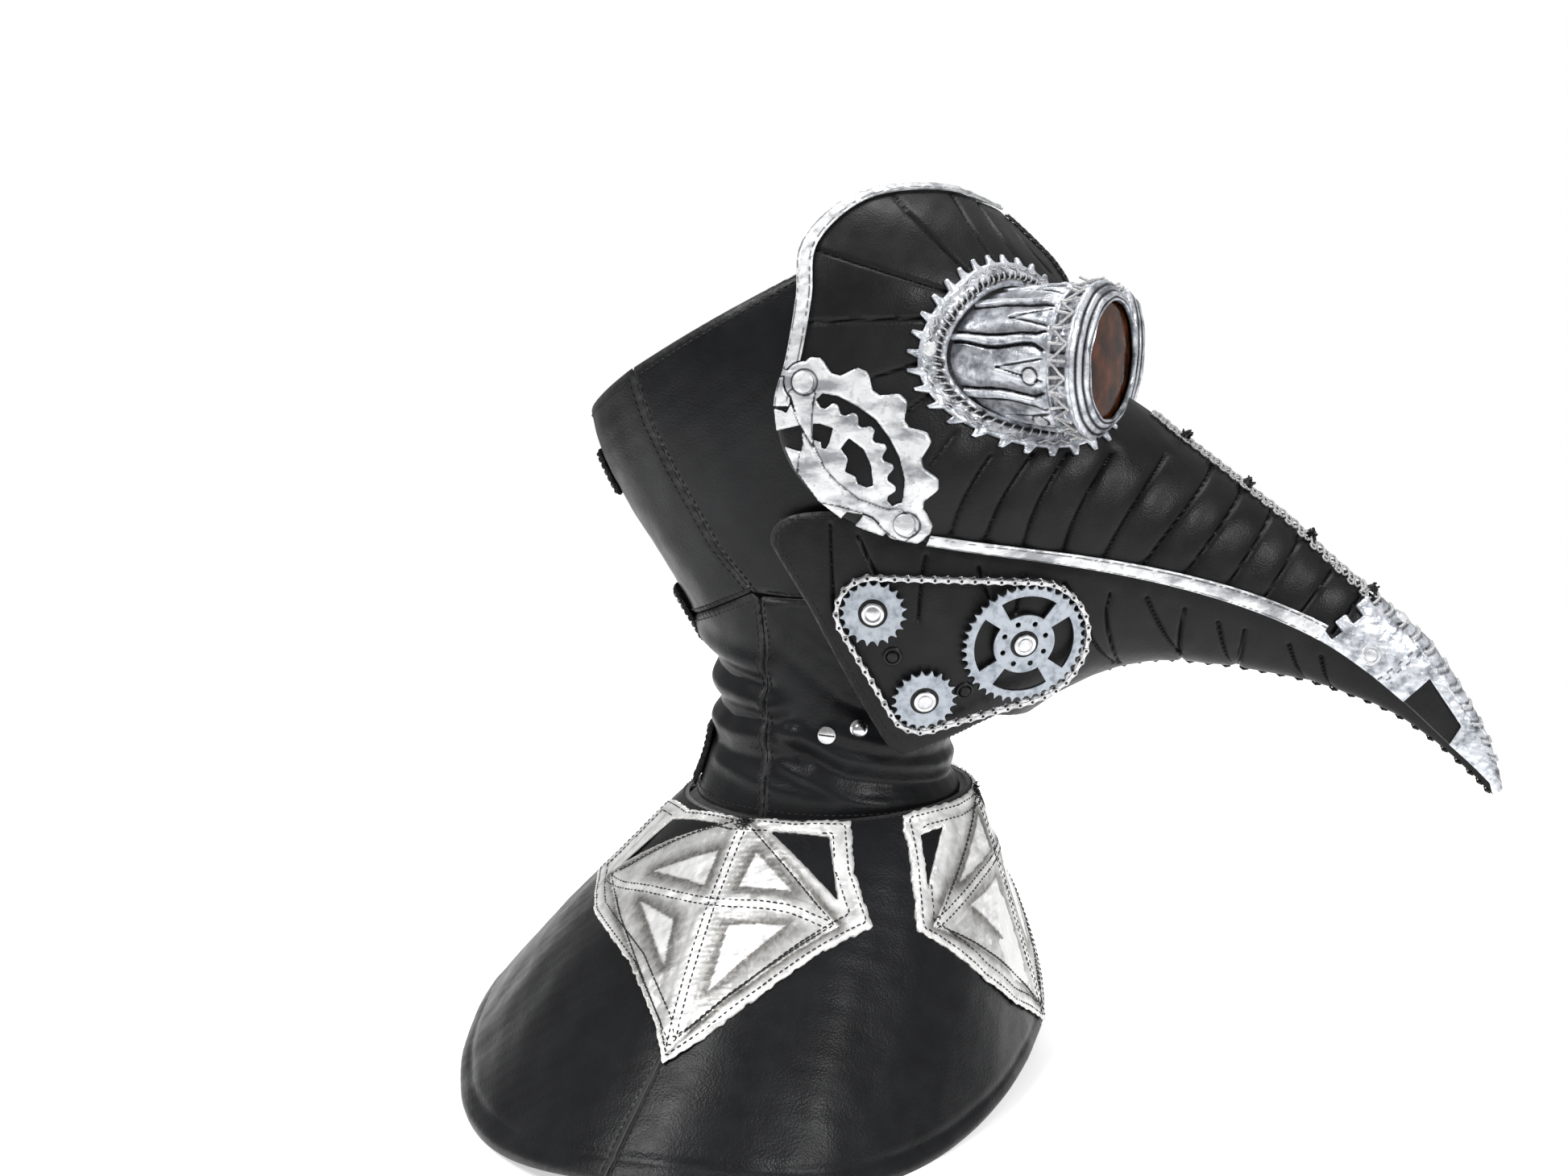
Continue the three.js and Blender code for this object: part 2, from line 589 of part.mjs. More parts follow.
// The eyelet that a sprocket turns on, clinched through the jaw.
function axle(frame) {
  const flange = 4.2;
  const back = -MASK_LEATHER - 1.5;
  const top = SPROCKET_LIFT + SPROCKET_THICKNESS + 0.2;
  return turned(
    [
      [0, back - 0.9], [flange, back - 0.9], [flange, back], [AXLE_RADIUS, back], [AXLE_RADIUS, 0.6],
      [flange, 0.6], [flange, SPROCKET_LIFT - 0.2], [AXLE_RADIUS, SPROCKET_LIFT - 0.2],
      [AXLE_RADIUS, top], [flange, top], [2.6, top + 1.1], [0, top + 1.1],
    ],
    frame,
    10,
  );
}

// The chain's route: round the outside of each sprocket in that sprocket's own plane, with straight
// runs between. Angles are in degrees from straight ahead, through up. It passes just outside the
// teeth, so that the sprockets turn freely inside it.
function chainRoute() {
  const wheels = [
    [upperSprocket, SMALL_TEETH, 78, 205],
    [lowerSprocket, SMALL_TEETH, 205, 298],
    [chainring, RING_TEETH, 286, 438],
  ];
  const arcs = wheels.map(([frame, teeth, from, to]) => {
    const radius = pitchRadius(teeth) + TOOTH_HEIGHT + CHAIN_CLEARANCE + CHAIN_SIZE / 2;
    const steps = Math.round((to - from) / 14);
    return Array.from({ length: steps + 1 }, (_, i) => {
      const a = rad(mix(from, to, i / steps));
      return frame.origin
        .clone()
        .addScaledVector(frame.x, radius * Math.cos(a))
        .addScaledVector(frame.y, radius * Math.sin(a))
        .addScaledVector(frame.z, SPROCKET_LIFT + SPROCKET_THICKNESS / 2);
    });
  });
  return arcs.flat();
}

// A closed band of square section along the route, standing off the jaw with the sprockets.
function chain() {
  const points = chainRoute();
  const count = points.length;
  const centre = points.reduce((sum, p) => sum.add(p), V(0, 0, 0)).divideScalar(count);
  const half = CHAIN_SIZE / 2;
  const positions = [];
  points.forEach((p, i) => {
    const ahead = points[(i + 1) % count].clone().sub(points[(i + count - 1) % count]).normalize();
    const outward = chainNormal(p);
    const sideways = outward.clone().cross(ahead).normalize();
    const up = ahead.clone().cross(sideways).normalize();
    if (sideways.dot(p.clone().sub(centre)) < 0) sideways.negate();
    for (const [a, b] of [[-half, -half], [half, -half], [half, half], [-half, half]]) {
      const q = p.clone().addScaledVector(sideways, a).addScaledVector(up, b);
      positions.push(q.x, q.y, q.z);
    }
  });
  const index = [];
  for (let i = 0; i < count; i++) {
    for (let k = 0; k < 4; k++) {
      const a = i * 4 + k;
      const b = i * 4 + ((k + 1) % 4);
      const c = ((i + 1) % count) * 4 + ((k + 1) % 4);
      const d = ((i + 1) % count) * 4 + k;
      index.push(a, b, c, a, c, d);
    }
  }
  const geometry = new THREE.BufferGeometry();
  geometry.setAttribute("position", new THREE.Float32BufferAttribute(positions, 3));
  geometry.setIndex(index);
  const made = solid(geometry);
  return made.volume() < 0 ? solid(turnInsideOut(geometry)) : made;
}

// The outward direction at a point of the chain: the nearest sprockets' axes, weighted by distance.
function chainNormal(p) {
  const sum = V(0, 0, 0);
  for (const frame of [upperSprocket, lowerSprocket, chainring]) {
    sum.addScaledVector(frame.z, 1 / (frame.origin.distanceToSquared(p) + 1));
  }
  return sum.normalize();
}

// ---- Pieces of the hood and neck -----------------------------------------
// The seam between the side and back panels, from the top edge down to the neck.
const SIDE_SEAM = [[44.5, 34.5], [37, 13], [28, -5], [13.5, -32], [0, -50]];
const HOOD_TOP_EDGE = [-36, 76.6]; // the front end of the sloping top edge
const HOOD_FRONT = -36;
const NECK_SEAM_Y = -3.5;
const NECK_FOOT = -139.7;
const SEAM_HEIGHT = -51.5;

const cutPanel = (layer, points) => layer.intersect(prism(polygon(points), SIDE_VIEW, -REACH, REACH));
const shifted = (points, dy, dz) => points.map(([y, z]) => [y + dy, z + dz]);

function hoodSide() {
  const outline = [HOOD_TOP_EDGE, ...SIDE_SEAM, [HOOD_FRONT, SEAM_HEIGHT]];
  return cutPanel(hoodLayer(-SOFT_LEATHER, 0, 0, 0.5), outline);
}

function hoodBack() {
  const seam = shifted(SIDE_SEAM, GAP, 0);
  const outline = [...seam, [35, -66], [90, -66], [110, -2], [84, 13], [66, 22.5]];
  return cutPanel(hoodLayer(-SOFT_LEATHER, 0, 0.0012, 0.5), outline);
}

function neckBack() {
  const outline = [
    [NECK_SEAM_Y + GAP, SEAM_HEIGHT - 1.5], [0.2, SEAM_HEIGHT + 0.8], [35, -66.5], [90, -66.5],
    [90, NECK_FOOT], [NECK_SEAM_Y + GAP, NECK_FOOT],
  ];
  return cutPanel(hoodLayer(-SOFT_LEATHER, 0, 0.0012, 0.5), outline);
}

function neckFront() {
  const outline = [
    [NECK_SEAM_Y, SEAM_HEIGHT - GAP], [-34, SEAM_HEIGHT - GAP], [-58, -80], [-95, -92],
    [-95, NECK_FOOT], [NECK_SEAM_Y, NECK_FOOT],
  ];
  return cutPanel(hoodLayer(-SOFT_LEATHER, 0, 0.1, 0.9), outline);
}

// [height of the middle, height of the tab, half width]
const TABS = { top: [-8, 18, 17], middle: [-65, 22, 17], bottom: [-124, 26, 17] };

// A hook-and-loop tab across the opening at the back, sewn to the left panel along one end.
function closureTab([z, tall, half]) {
  const [, halfWidth] = HOOD_RINGS.find((r) => r[0] <= z);
  const share = half / halfWidth / (2 * Math.PI);
  const across = (w, down) => hoodSurface(mix(-share, share, w), down);
  const range = [0, downOf(z + tall / 2), 1, downOf(z - tall / 2)];
  return sheet(across, -1, 0.9, 2.6, 6, 2, range);
}

// A press stud on the neck: a dome on a foot.
function neckStud([y, z], domed) {
  const frame = frameOn(hoodSurface, -1, [y, z], [0.3, downOf(z)]);
  const top = domed
    ? [[3.1, 0.9], [1.6, 1.6], [2.9, 3], [2.2, 4.6], [0, 5.2]]
    : [[3.3, 0.9], [3.1, 1.5], [0, 1.9]];
  return turned([[0, GAP], [3.1, GAP], ...top], frame, 12);
}

// ---- Pieces of the collar -----------------------------------------
const SEAM_HALF_GAP = 0.0024; // share of a panel

const collarPanel = (k) => collarLayer(-SOFT_LEATHER, 0, k + SEAM_HALF_GAP, k + 1 - SEAM_HALF_GAP);

// The silver kites, as [share round the collar, share down it]. The shoulder kite lies over the right
// shoulder seam and its mirror image over the left one. The front kite is symmetric, so only its right
// half is listed.
const SHOULDER_KITE = [
  [0.034, 0.06], [0.11, 0.03], [0.19, 0.015], [0.25, 0.013], [0.307, 0.016], [0.321, 0.165], [0.343, 0.32],
  [0.304, 0.395], [0.275, 0.51], [0.255, 0.615], [0.236, 0.7], [0.22, 0.6], [0.177, 0.46], [0.1, 0.4],
  [0.029, 0.388],
];
const SHOULDER_WINDOWS = [
  [[0.09, 0.078], [0.172, 0.04], [0.071, 0.279]],
  [[0.23, 0.046], [0.29, 0.06], [0.312, 0.243]],
];
const FRONT_KITE_HALF = [
  [0.44, 0.015], [0.361, 0.013], [0.372, 0.13], [0.376, 0.25], [0.379, 0.355], [0.409, 0.455], [0.437, 0.604],
  [0.466, 0.783],
];
const FRONT_WINDOW = [[0.385, 0.083], [0.415, 0.08], [0.39, 0.246]];
const acrossFront = ([share, s]) => [1 - share, s];
const FRONT_KITE = [
  ...FRONT_KITE_HALF, [0.5, 0.985], ...FRONT_KITE_HALF.map(acrossFront).reverse(), [0.5, 0.02],
];
const FRONT_WINDOWS = [FRONT_WINDOW, FRONT_WINDOW.map(acrossFront)];

// A kite between two facet columns of the collar, seen from straight above its middle.
function kite(outline, windows, middle, from, to) {
  const frame = frameFacing(collarSurface(...middle), normalAt(collarSurface, ...middle).negate());
  const flat = (points) =>
    polygon(
      points.map((point) => {
        const p = collarSurface(...point).sub(frame.origin);
        return [p.dot(frame.x), p.dot(frame.y)];
      }),
    );
  const layer = collarLayer(GAP, GAP + 1, from / PANEL_GRID[0], to / PANEL_GRID[0]);
  return windows.reduce(
    (rest, hole) => rest.subtract(prism(flat(hole), frame, -REACH / 4, REACH / 4)),
    layer.intersect(prism(flat(outline), frame, -REACH / 4, REACH / 4)),
  );
}

// ---- Materials -----------------------------------------
const material = (color, roughness, metalness) =>
  new THREE.MeshStandardMaterial({ color, roughness, metalness });
const mouldedLeather = material(0x1c1b1c, 0.42, 0);
const softLeather = material(0x17181b, 0.55, 0);
const silverLeather = material(0xc9ccd0, 0.4, 0.6);
const silverMetal = material(0xaeb4ba, 0.3, 0.9);
const agedSilver = material(0x9aa0aa, 0.38, 0.8);
const amberGlass = new THREE.MeshStandardMaterial({
  color: 0x6b2d12, roughness: 0.08, transparent: true, opacity: 0.8,
});
const loopTape = material(0x0c0c0d, 0.95, 0);

// ---- Assembly -----------------------------------------
const mask = new THREE.Group();

function add(name, manifold, finish) {
  const mesh = new THREE.Mesh(geometryOf(manifold), finish);
  mesh.name = name;
  mask.add(mesh);
}

function addPair(name, manifold, finish) {
  const right = geometryOf(manifold);
  const left = turnInsideOut(right.clone().scale(-1, 1, 1));
  for (const [side, geometry] of [["right", right], ["left", left]]) {
    const mesh = new THREE.Mesh(geometry, finish);
    mesh.name = `${name}_${side}`;
    mask.add(mesh);
  }
}

addPair("mask_shell", maskShell(), mouldedLeather);
addPair("brow_strip", edgeStrip(0, 7), silverLeather);
addPair("beak_strip", edgeStrip(9, 18), silverLeather);
addPair("tip_armour", tipArmour(), silverLeather);
addPair("goggle_base_ring", baseRing(), agedSilver);
addPair("goggle_barrel", barrel(), agedSilver);
addPair("goggle_rim", rim(), agedSilver);
addPair("goggle_lens", lens(), amberGlass);
addPair("cheek_gear", cheekGear(), silverLeather);
addPair("cheek_rivet", cheekRivet(CHEEK_RIVET, -82.6, 8.1), silverMetal);
addPair("jaw_pivot_rivet", cheekRivet(JAW_PIVOT, -73.4, 15), silverMetal);

addPair("jaw_shell", jawShell(), mouldedLeather);
addPair("upper_sprocket", sprocket(upperSprocket, SMALL_TEETH, 0), silverMetal);
addPair("lower_sprocket", sprocket(lowerSprocket, SMALL_TEETH, 0), silverMetal);
addPair("chainring", sprocket(chainring, RING_TEETH, 4), silverMetal);
addPair("upper_sprocket_axle", axle(upperSprocket), silverMetal);
addPair("lower_sprocket_axle", axle(lowerSprocket), silverMetal);
addPair("chainring_axle", axle(chainring), silverMetal);
addPair("drive_chain", chain(), silverMetal);

addPair("hood_side_panel", hoodSide(), softLeather);
addPair("hood_back_panel", hoodBack(), softLeather);
addPair("neck_back_panel", neckBack(), softLeather);
add("neck_front_panel", neckFront(), softLeather);
for (const [name, size] of Object.entries(TABS)) add(`closure_tab_${name}`, closureTab(size), loopTape);
addPair("neck_ball_stud", neckStud([-40, -102], true), silverMetal);
addPair("neck_screw_stud", neckStud([-28.5, -104.5], false), silverMetal);

addPair("collar_back_panel", collarPanel(0), softLeather);
addPair("collar_front_panel", collarPanel(1), softLeather);
addPair("shoulder_kite", kite(SHOULDER_KITE, SHOULDER_WINDOWS, [0.2, 0.3], 0, 14), silverLeather);
add("front_kite", kite(FRONT_KITE, FRONT_WINDOWS, [0.5, 0.4], 12, 24), silverLeather);

export default mask;
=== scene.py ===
"""The looks of a steampunk plague doctor mask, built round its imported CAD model.

Lengths are in millimetres until a mesh is made. The beak points along -Y, the wearer's right side is
-X, and everything that comes in pairs is made for the right side and mirrored.
"""
import json
import math

import bpy
import numpy as np
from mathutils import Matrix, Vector

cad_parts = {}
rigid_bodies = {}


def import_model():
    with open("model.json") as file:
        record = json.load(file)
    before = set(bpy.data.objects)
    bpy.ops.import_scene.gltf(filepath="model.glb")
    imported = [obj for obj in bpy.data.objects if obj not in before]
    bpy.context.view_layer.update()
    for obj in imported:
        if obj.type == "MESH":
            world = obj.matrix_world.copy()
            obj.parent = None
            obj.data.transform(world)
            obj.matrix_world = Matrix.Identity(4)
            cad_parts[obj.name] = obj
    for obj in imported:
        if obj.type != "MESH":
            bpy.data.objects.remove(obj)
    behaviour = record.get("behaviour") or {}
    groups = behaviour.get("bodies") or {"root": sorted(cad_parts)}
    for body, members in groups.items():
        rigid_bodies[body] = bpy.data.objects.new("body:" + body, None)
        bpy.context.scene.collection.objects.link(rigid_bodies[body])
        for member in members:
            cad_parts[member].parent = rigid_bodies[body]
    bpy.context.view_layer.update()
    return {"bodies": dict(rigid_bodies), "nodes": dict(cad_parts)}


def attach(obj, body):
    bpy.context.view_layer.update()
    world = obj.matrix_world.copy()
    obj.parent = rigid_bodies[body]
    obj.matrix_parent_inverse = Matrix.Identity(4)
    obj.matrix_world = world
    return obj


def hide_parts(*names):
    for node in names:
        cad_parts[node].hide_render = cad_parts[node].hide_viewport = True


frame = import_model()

MM = 0.001
FOCAL_LENGTH = 39.24
CAMERA_AT = (-670.8, -167.3, 53.5)
CAMERA_AIM = (0, 0, -56)

camera_data = bpy.data.cameras.new("camera")
camera_data.lens = FOCAL_LENGTH
camera_data.sensor_width = 36
camera_data.clip_end = 20
camera = bpy.data.objects.new("camera", camera_data)
camera.location = Vector(CAMERA_AT) * MM
camera.rotation_euler = (Vector(CAMERA_AIM) - Vector(CAMERA_AT)).to_track_quat("-Z", "Y").to_euler()
bpy.context.scene.collection.objects.link(camera)
bpy.context.scene.camera = camera


# ---- The surfaces of the CAD model --------------------------------------------------------------------
def through(rows):
    """A smooth curve through rows of numbers, read from 0 at the first row to 1 at the last."""
    p = np.array(rows, float)
    n = len(p)
    q = np.vstack([2 * p[0] - p[1], p, 2 * p[-1] - p[-2]])

    def at(t):
        t = np.clip(np.asarray(t, float), 0, 1) * (n - 1)
        i = np.minimum(t.astype(int), n - 2)
        w = (t - i)[..., None]
        a, b, c, d = q[i], q[i + 1], q[i + 2], q[i + 3]
        m1, m2 = (c - a) / 2, (d - b) / 2
        return (
            b * (2 * w**3 - 3 * w**2 + 1) + m1 * (w**3 - 2 * w**2 + w)
            + c * (3 * w**2 - 2 * w**3) + m2 * (w**3 - w**2)
        )

    return at


def stack(*columns):
    return np.stack(np.broadcast_arrays(*columns), axis=-1)


def unit(v):
    return v / np.maximum(np.linalg.norm(v, axis=-1, keepdims=True), 1e-12)


RIDGE = [
    [-85, 94], [-92, 88], [-100, 80.5], [-107, 73], [-112, 64], [-111, 53], [-113, 43], [-121, 33.5],
    [-130, 27], [-139, 21.5], [-147, 16], [-155, 9.5], [-164, 3], [-174, -4.5], [-185, -13], [-197, -22],
    [-210, -34], [-223, -45], [-236, -56], [-249, -67.5], [-262, -86], [-272, -104], [-278, -122],
]
MASK_EDGE = [
    [-3, -84.5, 94.6], [-30, -66, 101], [-57, -41, 96.5], [-72, -25, 80], [-78, -24, 60], [-80, -21, 40],
    [-80, -16.5, 22], [-78, -21, 2], [-75, -36, -15], [-69, -54, -24], [-62, -75, -28.5], [-54, -96, -32],
    [-46, -117, -35.5], [-38.5, -137, -39.5], [-31.5, -157, -44.5], [-25, -176, -50.5], [-20, -194, -57.5],
    [-16, -211, -66], [-12.5, -227, -77], [-9.5, -242, -89.5], [-6.5, -256, -102.5], [-4, -267.5, -113],
    [-1.8, -277, -122.6],
]
JAW_EDGE = [
    [-70, -2, -12], [-71.2, -20, -12], [-69.5, -38, -14], [-65.5, -56, -18], [-59, -75, -23],
    [-51.5, -94, -27], [-43.5, -114, -30.5], [-36, -134, -34], [-29, -154, -38.5], [-22, -174, -44.5],
    [-16.8, -193, -52], [-12.5, -211, -61], [-9.2, -227, -72], [-6.3, -242, -84.5], [-3.6, -256, -98.5],
    [-1.7, -267, -110], [-0.9, -274, -119],
]
JAW_KEEL = [
    [-62, -150], [-70, -138], [-79, -126], [-88, -114], [-98, -104], [-109, -95], [-122, -87], [-136, -81],
    [-152, -78], [-170, -78.5], [-188, -80.5], [-206, -83.5], [-223, -88.5], [-239, -95], [-254, -105],
    [-267, -116], [-275.5, -124.5],
]
HOOD_TOP, HOOD_FOOT = 80, -140
HOOD_RINGS = [  # half width, back and front, at even steps from the hood's top to its foot
    [67, 78, -100], [72.5, 82, -100], [74, 82, -100], [72.5, 79, -100], [68.5, 74, -98], [64, 64, -96],
    [59, 52, -92], [52.5, 40, -84], [48, 29, -74], [46.5, 27, -69.5], [47, 29.5, -69], [50.5, 36.5, -73],
]
COLLAR_TOP, COLLAR_HEM = (54, 40, -77.5), (165, 128, -110)  # half width, back and front
ridge_curve, edge_curve = through(RIDGE), through(MASK_EDGE)
jaw_edge_curve, jaw_keel_curve = through(JAW_EDGE), through(JAW_KEEL)
ring_curve = through(HOOD_RINGS)
CENTRE_GAP = 0.25
JAW_FULLNESS = 0.8


def mix(a, b, t):
    return a + (b - a) * t


def mask_at(u, t):
    ridge, edge = ridge_curve(u), edge_curve(u)
    across, along = np.sin(np.pi / 2 * t), 1 - np.cos(np.pi / 2 * t)
    y, z = (mix(ridge[..., k], edge[..., k + 1], along) for k in (0, 1))
    return stack(mix(-CENTRE_GAP, edge[..., 0], across), y, z)


def jaw_at(u, s):
    edge, keel = jaw_edge_curve(u), jaw_keel_curve(u)
    across = np.maximum(np.cos(np.pi / 2 * s), 0) ** JAW_FULLNESS
    along = np.sin(np.pi / 2 * s)
    y, z = (mix(edge[..., k + 1], keel[..., k], along) for k in (0, 1))
    return stack(mix(-CENTRE_GAP, edge[..., 0], across), y, z)


def ellipse(share, half_width, back, front):
    """x and y at a share of the way round, from the back over the wearer's right."""
    a = 2 * np.pi * share
    return -half_width * np.sin(a), (back + front) / 2 + (back - front) / 2 * np.cos(a)


def hood_at(share, down):
    return stack(*ellipse(share, *np.moveaxis(ring_curve(down), -1, 0)), mix(HOOD_TOP, HOOD_FOOT, down))


def collar_at(share, s):
    a = 2 * np.pi * share
    x0, y0 = ellipse(share, *COLLAR_TOP)
    x1, y1 = ellipse(share, *COLLAR_HEM)
    top, hem = -136.5 - 3 * np.cos(a), -238 + 5 * np.cos(4 * a)
    flare = s + 0.12 * s * (1 - s)
    return stack(mix(x0, x1, flare), mix(y0, y1, flare), mix(top, hem, s))


class Frame:
    """A place with a direction z that faces outwards, x level and y up."""

    def __init__(self, origin, z=(-1, 0, 0)):
        self.o = np.array(origin, float)
        self.z = unit(np.array(z, float))
        self.x = unit(np.cross([0, 0, 1], self.z))
        self.y = np.cross(self.z, self.x)

    def at(self, a, b, c=0):
        a, b, c = (np.asarray(value, float)[..., None] for value in (a, b, c))
        return self.o + a * self.x + b * self.y + c * self.z

    def round(self, radius, angle, c=0):
        return self.at(radius * np.cos(angle), radius * np.sin(angle), c)

    def local(self, p):
        d = p - self.o
        return d @ self.x, d @ self.y, d @ self.z


SIDE = Frame((0, 0, 0))
GOGGLE = Frame((-44, -93, 40), (-0.3088, -0.9505, -0.0349))
UPPER = Frame((-66.5018, -50, -52.5), (-0.9778, -0.1789, -0.1093))
LOWER = Frame((-55.2053, -67, -86), (-0.8917, -0.3536, -0.2827))
RING = Frame((-44.5633, -102, -65), (-0.862, -0.4313, -0.2664))


def normals(surface, u, v, e=3e-4):
    du = surface(u + e, v) - surface(u - e, v)
    dv = surface(u, v + e) - surface(u, v - e)
    return unit(np.cross(dv, du))


def above(surface, u, v, height):
    return surface(u, v) + normals(surface, u, v) * np.asarray(height, float)[..., None]


def drape(surface, place, a, b, guess, limits=(0, 1, 0, 1)):
    """The surface's (u, v) below the points (a, b) of a frame, and how far each one misses."""
    a, b = np.broadcast_arrays(np.asarray(a, float), np.asarray(b, float))
    u, v = np.full(a.shape, float(guess[0])), np.full(a.shape, float(guess[1]))
    e = 1e-4
    for _ in range(14):
        p = place.local(surface(u, v))
        pu, pv = place.local(surface(u + e, v)), place.local(surface(u, v + e))
        ua, ub = (pu[0] - p[0]) / e, (pu[1] - p[1]) / e
        va, vb = (pv[0] - p[0]) / e, (pv[1] - p[1]) / e
        det = ua * vb - ub * va
        det = np.where(np.abs(det) < 1, np.where(det < 0, -1, 1), det)
        da, db = a - p[0], b - p[1]
        u = np.clip(u + np.clip((da * vb - db * va) / det, -0.1, 0.1), limits[0], limits[1] - 2 * e)
        v = np.clip(v + np.clip((db * ua - da * ub) / det, -0.1, 0.1), limits[2], limits[3] - 2 * e)
    p = place.local(surface(u, v))
    return u, v, np.hypot(a - p[0], b - p[1])


def side_drape(surface, points, guess, limits=(0, 1, 0, 1)):
    """The surface's (u, v) at points of the side view, and how far each one misses."""
    points = np.asarray(points, float)
    return drape(surface, SIDE, -points[..., 0], points[..., 1], guess, limits)


def dense(points, step):
    """A polyline with points added so that none are further apart than the step."""
    points = np.array(points, float)
    out = [points[:1]]
    for a, b in zip(points, points[1:]):
        count = max(1, int(np.ceil(np.linalg.norm(b - a) / step)))
        out.append(a + (b - a) * (np.arange(1, count + 1) / count)[:, None])
    return np.vstack(out)


def trace(surface, points, count=30):
    """3-D points along a smooth line given in the surface's own coordinates."""
    w = through(points)(np.linspace(0, 1, count))
    return surface(w[:, 0], w[:, 1])


def near(p, line, reach):
    """How far each point is from a 3-D line, where that is less than reach."""
    out = np.full(p.shape[:-1], float(reach))
    close = ((p > line.min(0) - reach) & (p < line.max(0) + reach)).all(-1)
    q = p[close]
    best = np.full(len(q), float(reach) ** 2)
    for a, b in zip(line, line[1:]):
        e = b - a
        w = q - a
        t = np.clip(w @ e / max(e @ e, 1e-9), 0, 1)
        best = np.minimum(best, ((w - t[:, None] * e) ** 2).sum(1))
    out[close] = np.sqrt(best)
    return out


def outline_sd(x, y, outline):
    """Signed distance to a flat outline, negative inside it."""
    best, inside = np.full(x.shape, np.inf), np.zeros(x.shape, bool)
    outline = np.array(outline, float)
    for a, b in zip(outline, np.roll(outline, -1, 0)):
        e = b - a
        t = np.clip(((x - a[0]) * e[0] + (y - a[1]) * e[1]) / max(e @ e, 1e-9), 0, 1)
        best = np.minimum(best, (x - a[0] - t * e[0]) ** 2 + (y - a[1] - t * e[1]) ** 2)
        if a[1] != b[1]:
            inside ^= ((a[1] <= y) != (b[1] <= y)) & (x < a[0] + (y - a[1]) / e[1] * e[0])
    return np.where(inside, -1, 1) * np.sqrt(best)


def arc_curve(start, control, end, count=24):
    t = np.linspace(0, 1, count)[:, None]
    a, b, c = (np.array(p, float) for p in (start, control, end))
    return ((1 - t) ** 2 * a + 2 * t * (1 - t) * b + t**2 * c).tolist()


def waves(p, size, seed, count=7):
    """Smooth irregular waves about size mm long, from -1 to 1."""
    rng = np.random.default_rng(seed)
    total = 0
    for _ in range(count):
        direction = rng.normal(size=3)
        direction *= 2 * np.pi / (size * rng.uniform(0.7, 1.5) * np.linalg.norm(direction))
        total = total + np.sin(p @ direction + rng.uniform(0, 2 * np.pi))
    return total / count * 1.4


def bell(x, width):
    return np.exp(-((x / width) ** 2))


def below(x, width):
    """A soft step from 1 where x is negative to 0 where it is positive."""
    return 1 / (1 + np.exp(x / width))


def net(u, v):
    """A grid of (u, v), where u and v are each (first, last, count)."""
    return np.meshgrid(np.linspace(*u), np.linspace(*v), indexing="ij")


# ---- Meshes -------------------------------------------------------------------------------------------
SHARP_ANGLE = 38


class Shape:
    """Vertices, three- and four-sided faces, and two values per vertex for the materials: relief is 1
    on open faces and 0 deep in a groove, and edge is 1 along a cut edge."""

    def __init__(self):
        self.points, self.faces, self.relief, self.edge, self.count = [], {3: [], 4: []}, [], [], 0

    def add(self, points, faces, relief=1.0, edge=0.0):
        points = np.asarray(points, float).reshape(-1, 3)
        for f in faces:
            if len(f):
                f = np.asarray(f)
                self.faces[f.shape[1]].append(f + self.count)
        self.points.append(points)
        self.relief.append(np.broadcast_to(relief, len(points)))
        self.edge.append(np.broadcast_to(edge, len(points)))
        self.count += len(points)
        return self


def make(name, shape, material, body, nodes=(), pair=True):
    """Puts a shape in the scene, with its mirror image if it is one of a pair."""
    for side in ("_right", "_left") if pair else ("",):
        flip = side == "_left"
        points = np.vstack(shape.points) * ([-1, 1, 1] if flip else [1, 1, 1]) * MM
        groups = [np.vstack(f)[:, :: -1 if flip else 1] for f in shape.faces.values() if f]
        sizes = np.concatenate([np.full(len(f), f.shape[1]) for f in groups])
        mesh = bpy.data.meshes.new(name + side)
        mesh.vertices.add(len(points))
        mesh.vertices.foreach_set("co", points.astype(np.float32).ravel())
        mesh.loops.add(int(sizes.sum()))
        corners = np.concatenate([f.ravel() for f in groups])
        mesh.loops.foreach_set("vertex_index", corners.astype(np.int32))
        mesh.polygons.add(len(sizes))
        mesh.polygons.foreach_set("loop_start", (np.cumsum(sizes) - sizes).astype(np.int32))
        mesh.update(calc_edges=True)
        for key, values in (("relief", shape.relief), ("edge", shape.edge)):
            attribute = mesh.attributes.new(key, "FLOAT", "POINT")
            attribute.data.foreach_set("value", np.concatenate(values).astype(np.float32))
        mesh.shade_smooth()
        mesh.set_sharp_from_angle(angle=math.radians(SHARP_ANGLE))
        mesh.materials.append(material)
        piece = bpy.data.objects.new(name + side, mesh)
        bpy.context.scene.collection.objects.link(piece)
        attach(piece, body if body in frame["bodies"] else body + side)
        if nodes:
            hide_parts(*[node if node in frame["nodes"] else node + side for node in nodes])


def grid_faces(rows, cols, wrap_rows=False, wrap_cols=False):
    ids = np.arange(rows * cols).reshape(rows, cols)
    if wrap_rows:
        ids = np.vstack([ids, ids[:1]])
    if wrap_cols:
        ids = np.hstack([ids, ids[:, :1]])
    return np.stack([ids[:-1, :-1], ids[1:, :-1], ids[1:, 1:], ids[:-1, 1:]], -1).reshape(-1, 4)


def fan(tip, ring, turn=1):
    """Triangles from a tip to a closed ring of points."""
    return np.stack([np.full(len(ring), tip), ring, np.roll(ring, -1)][:: turn], -1)


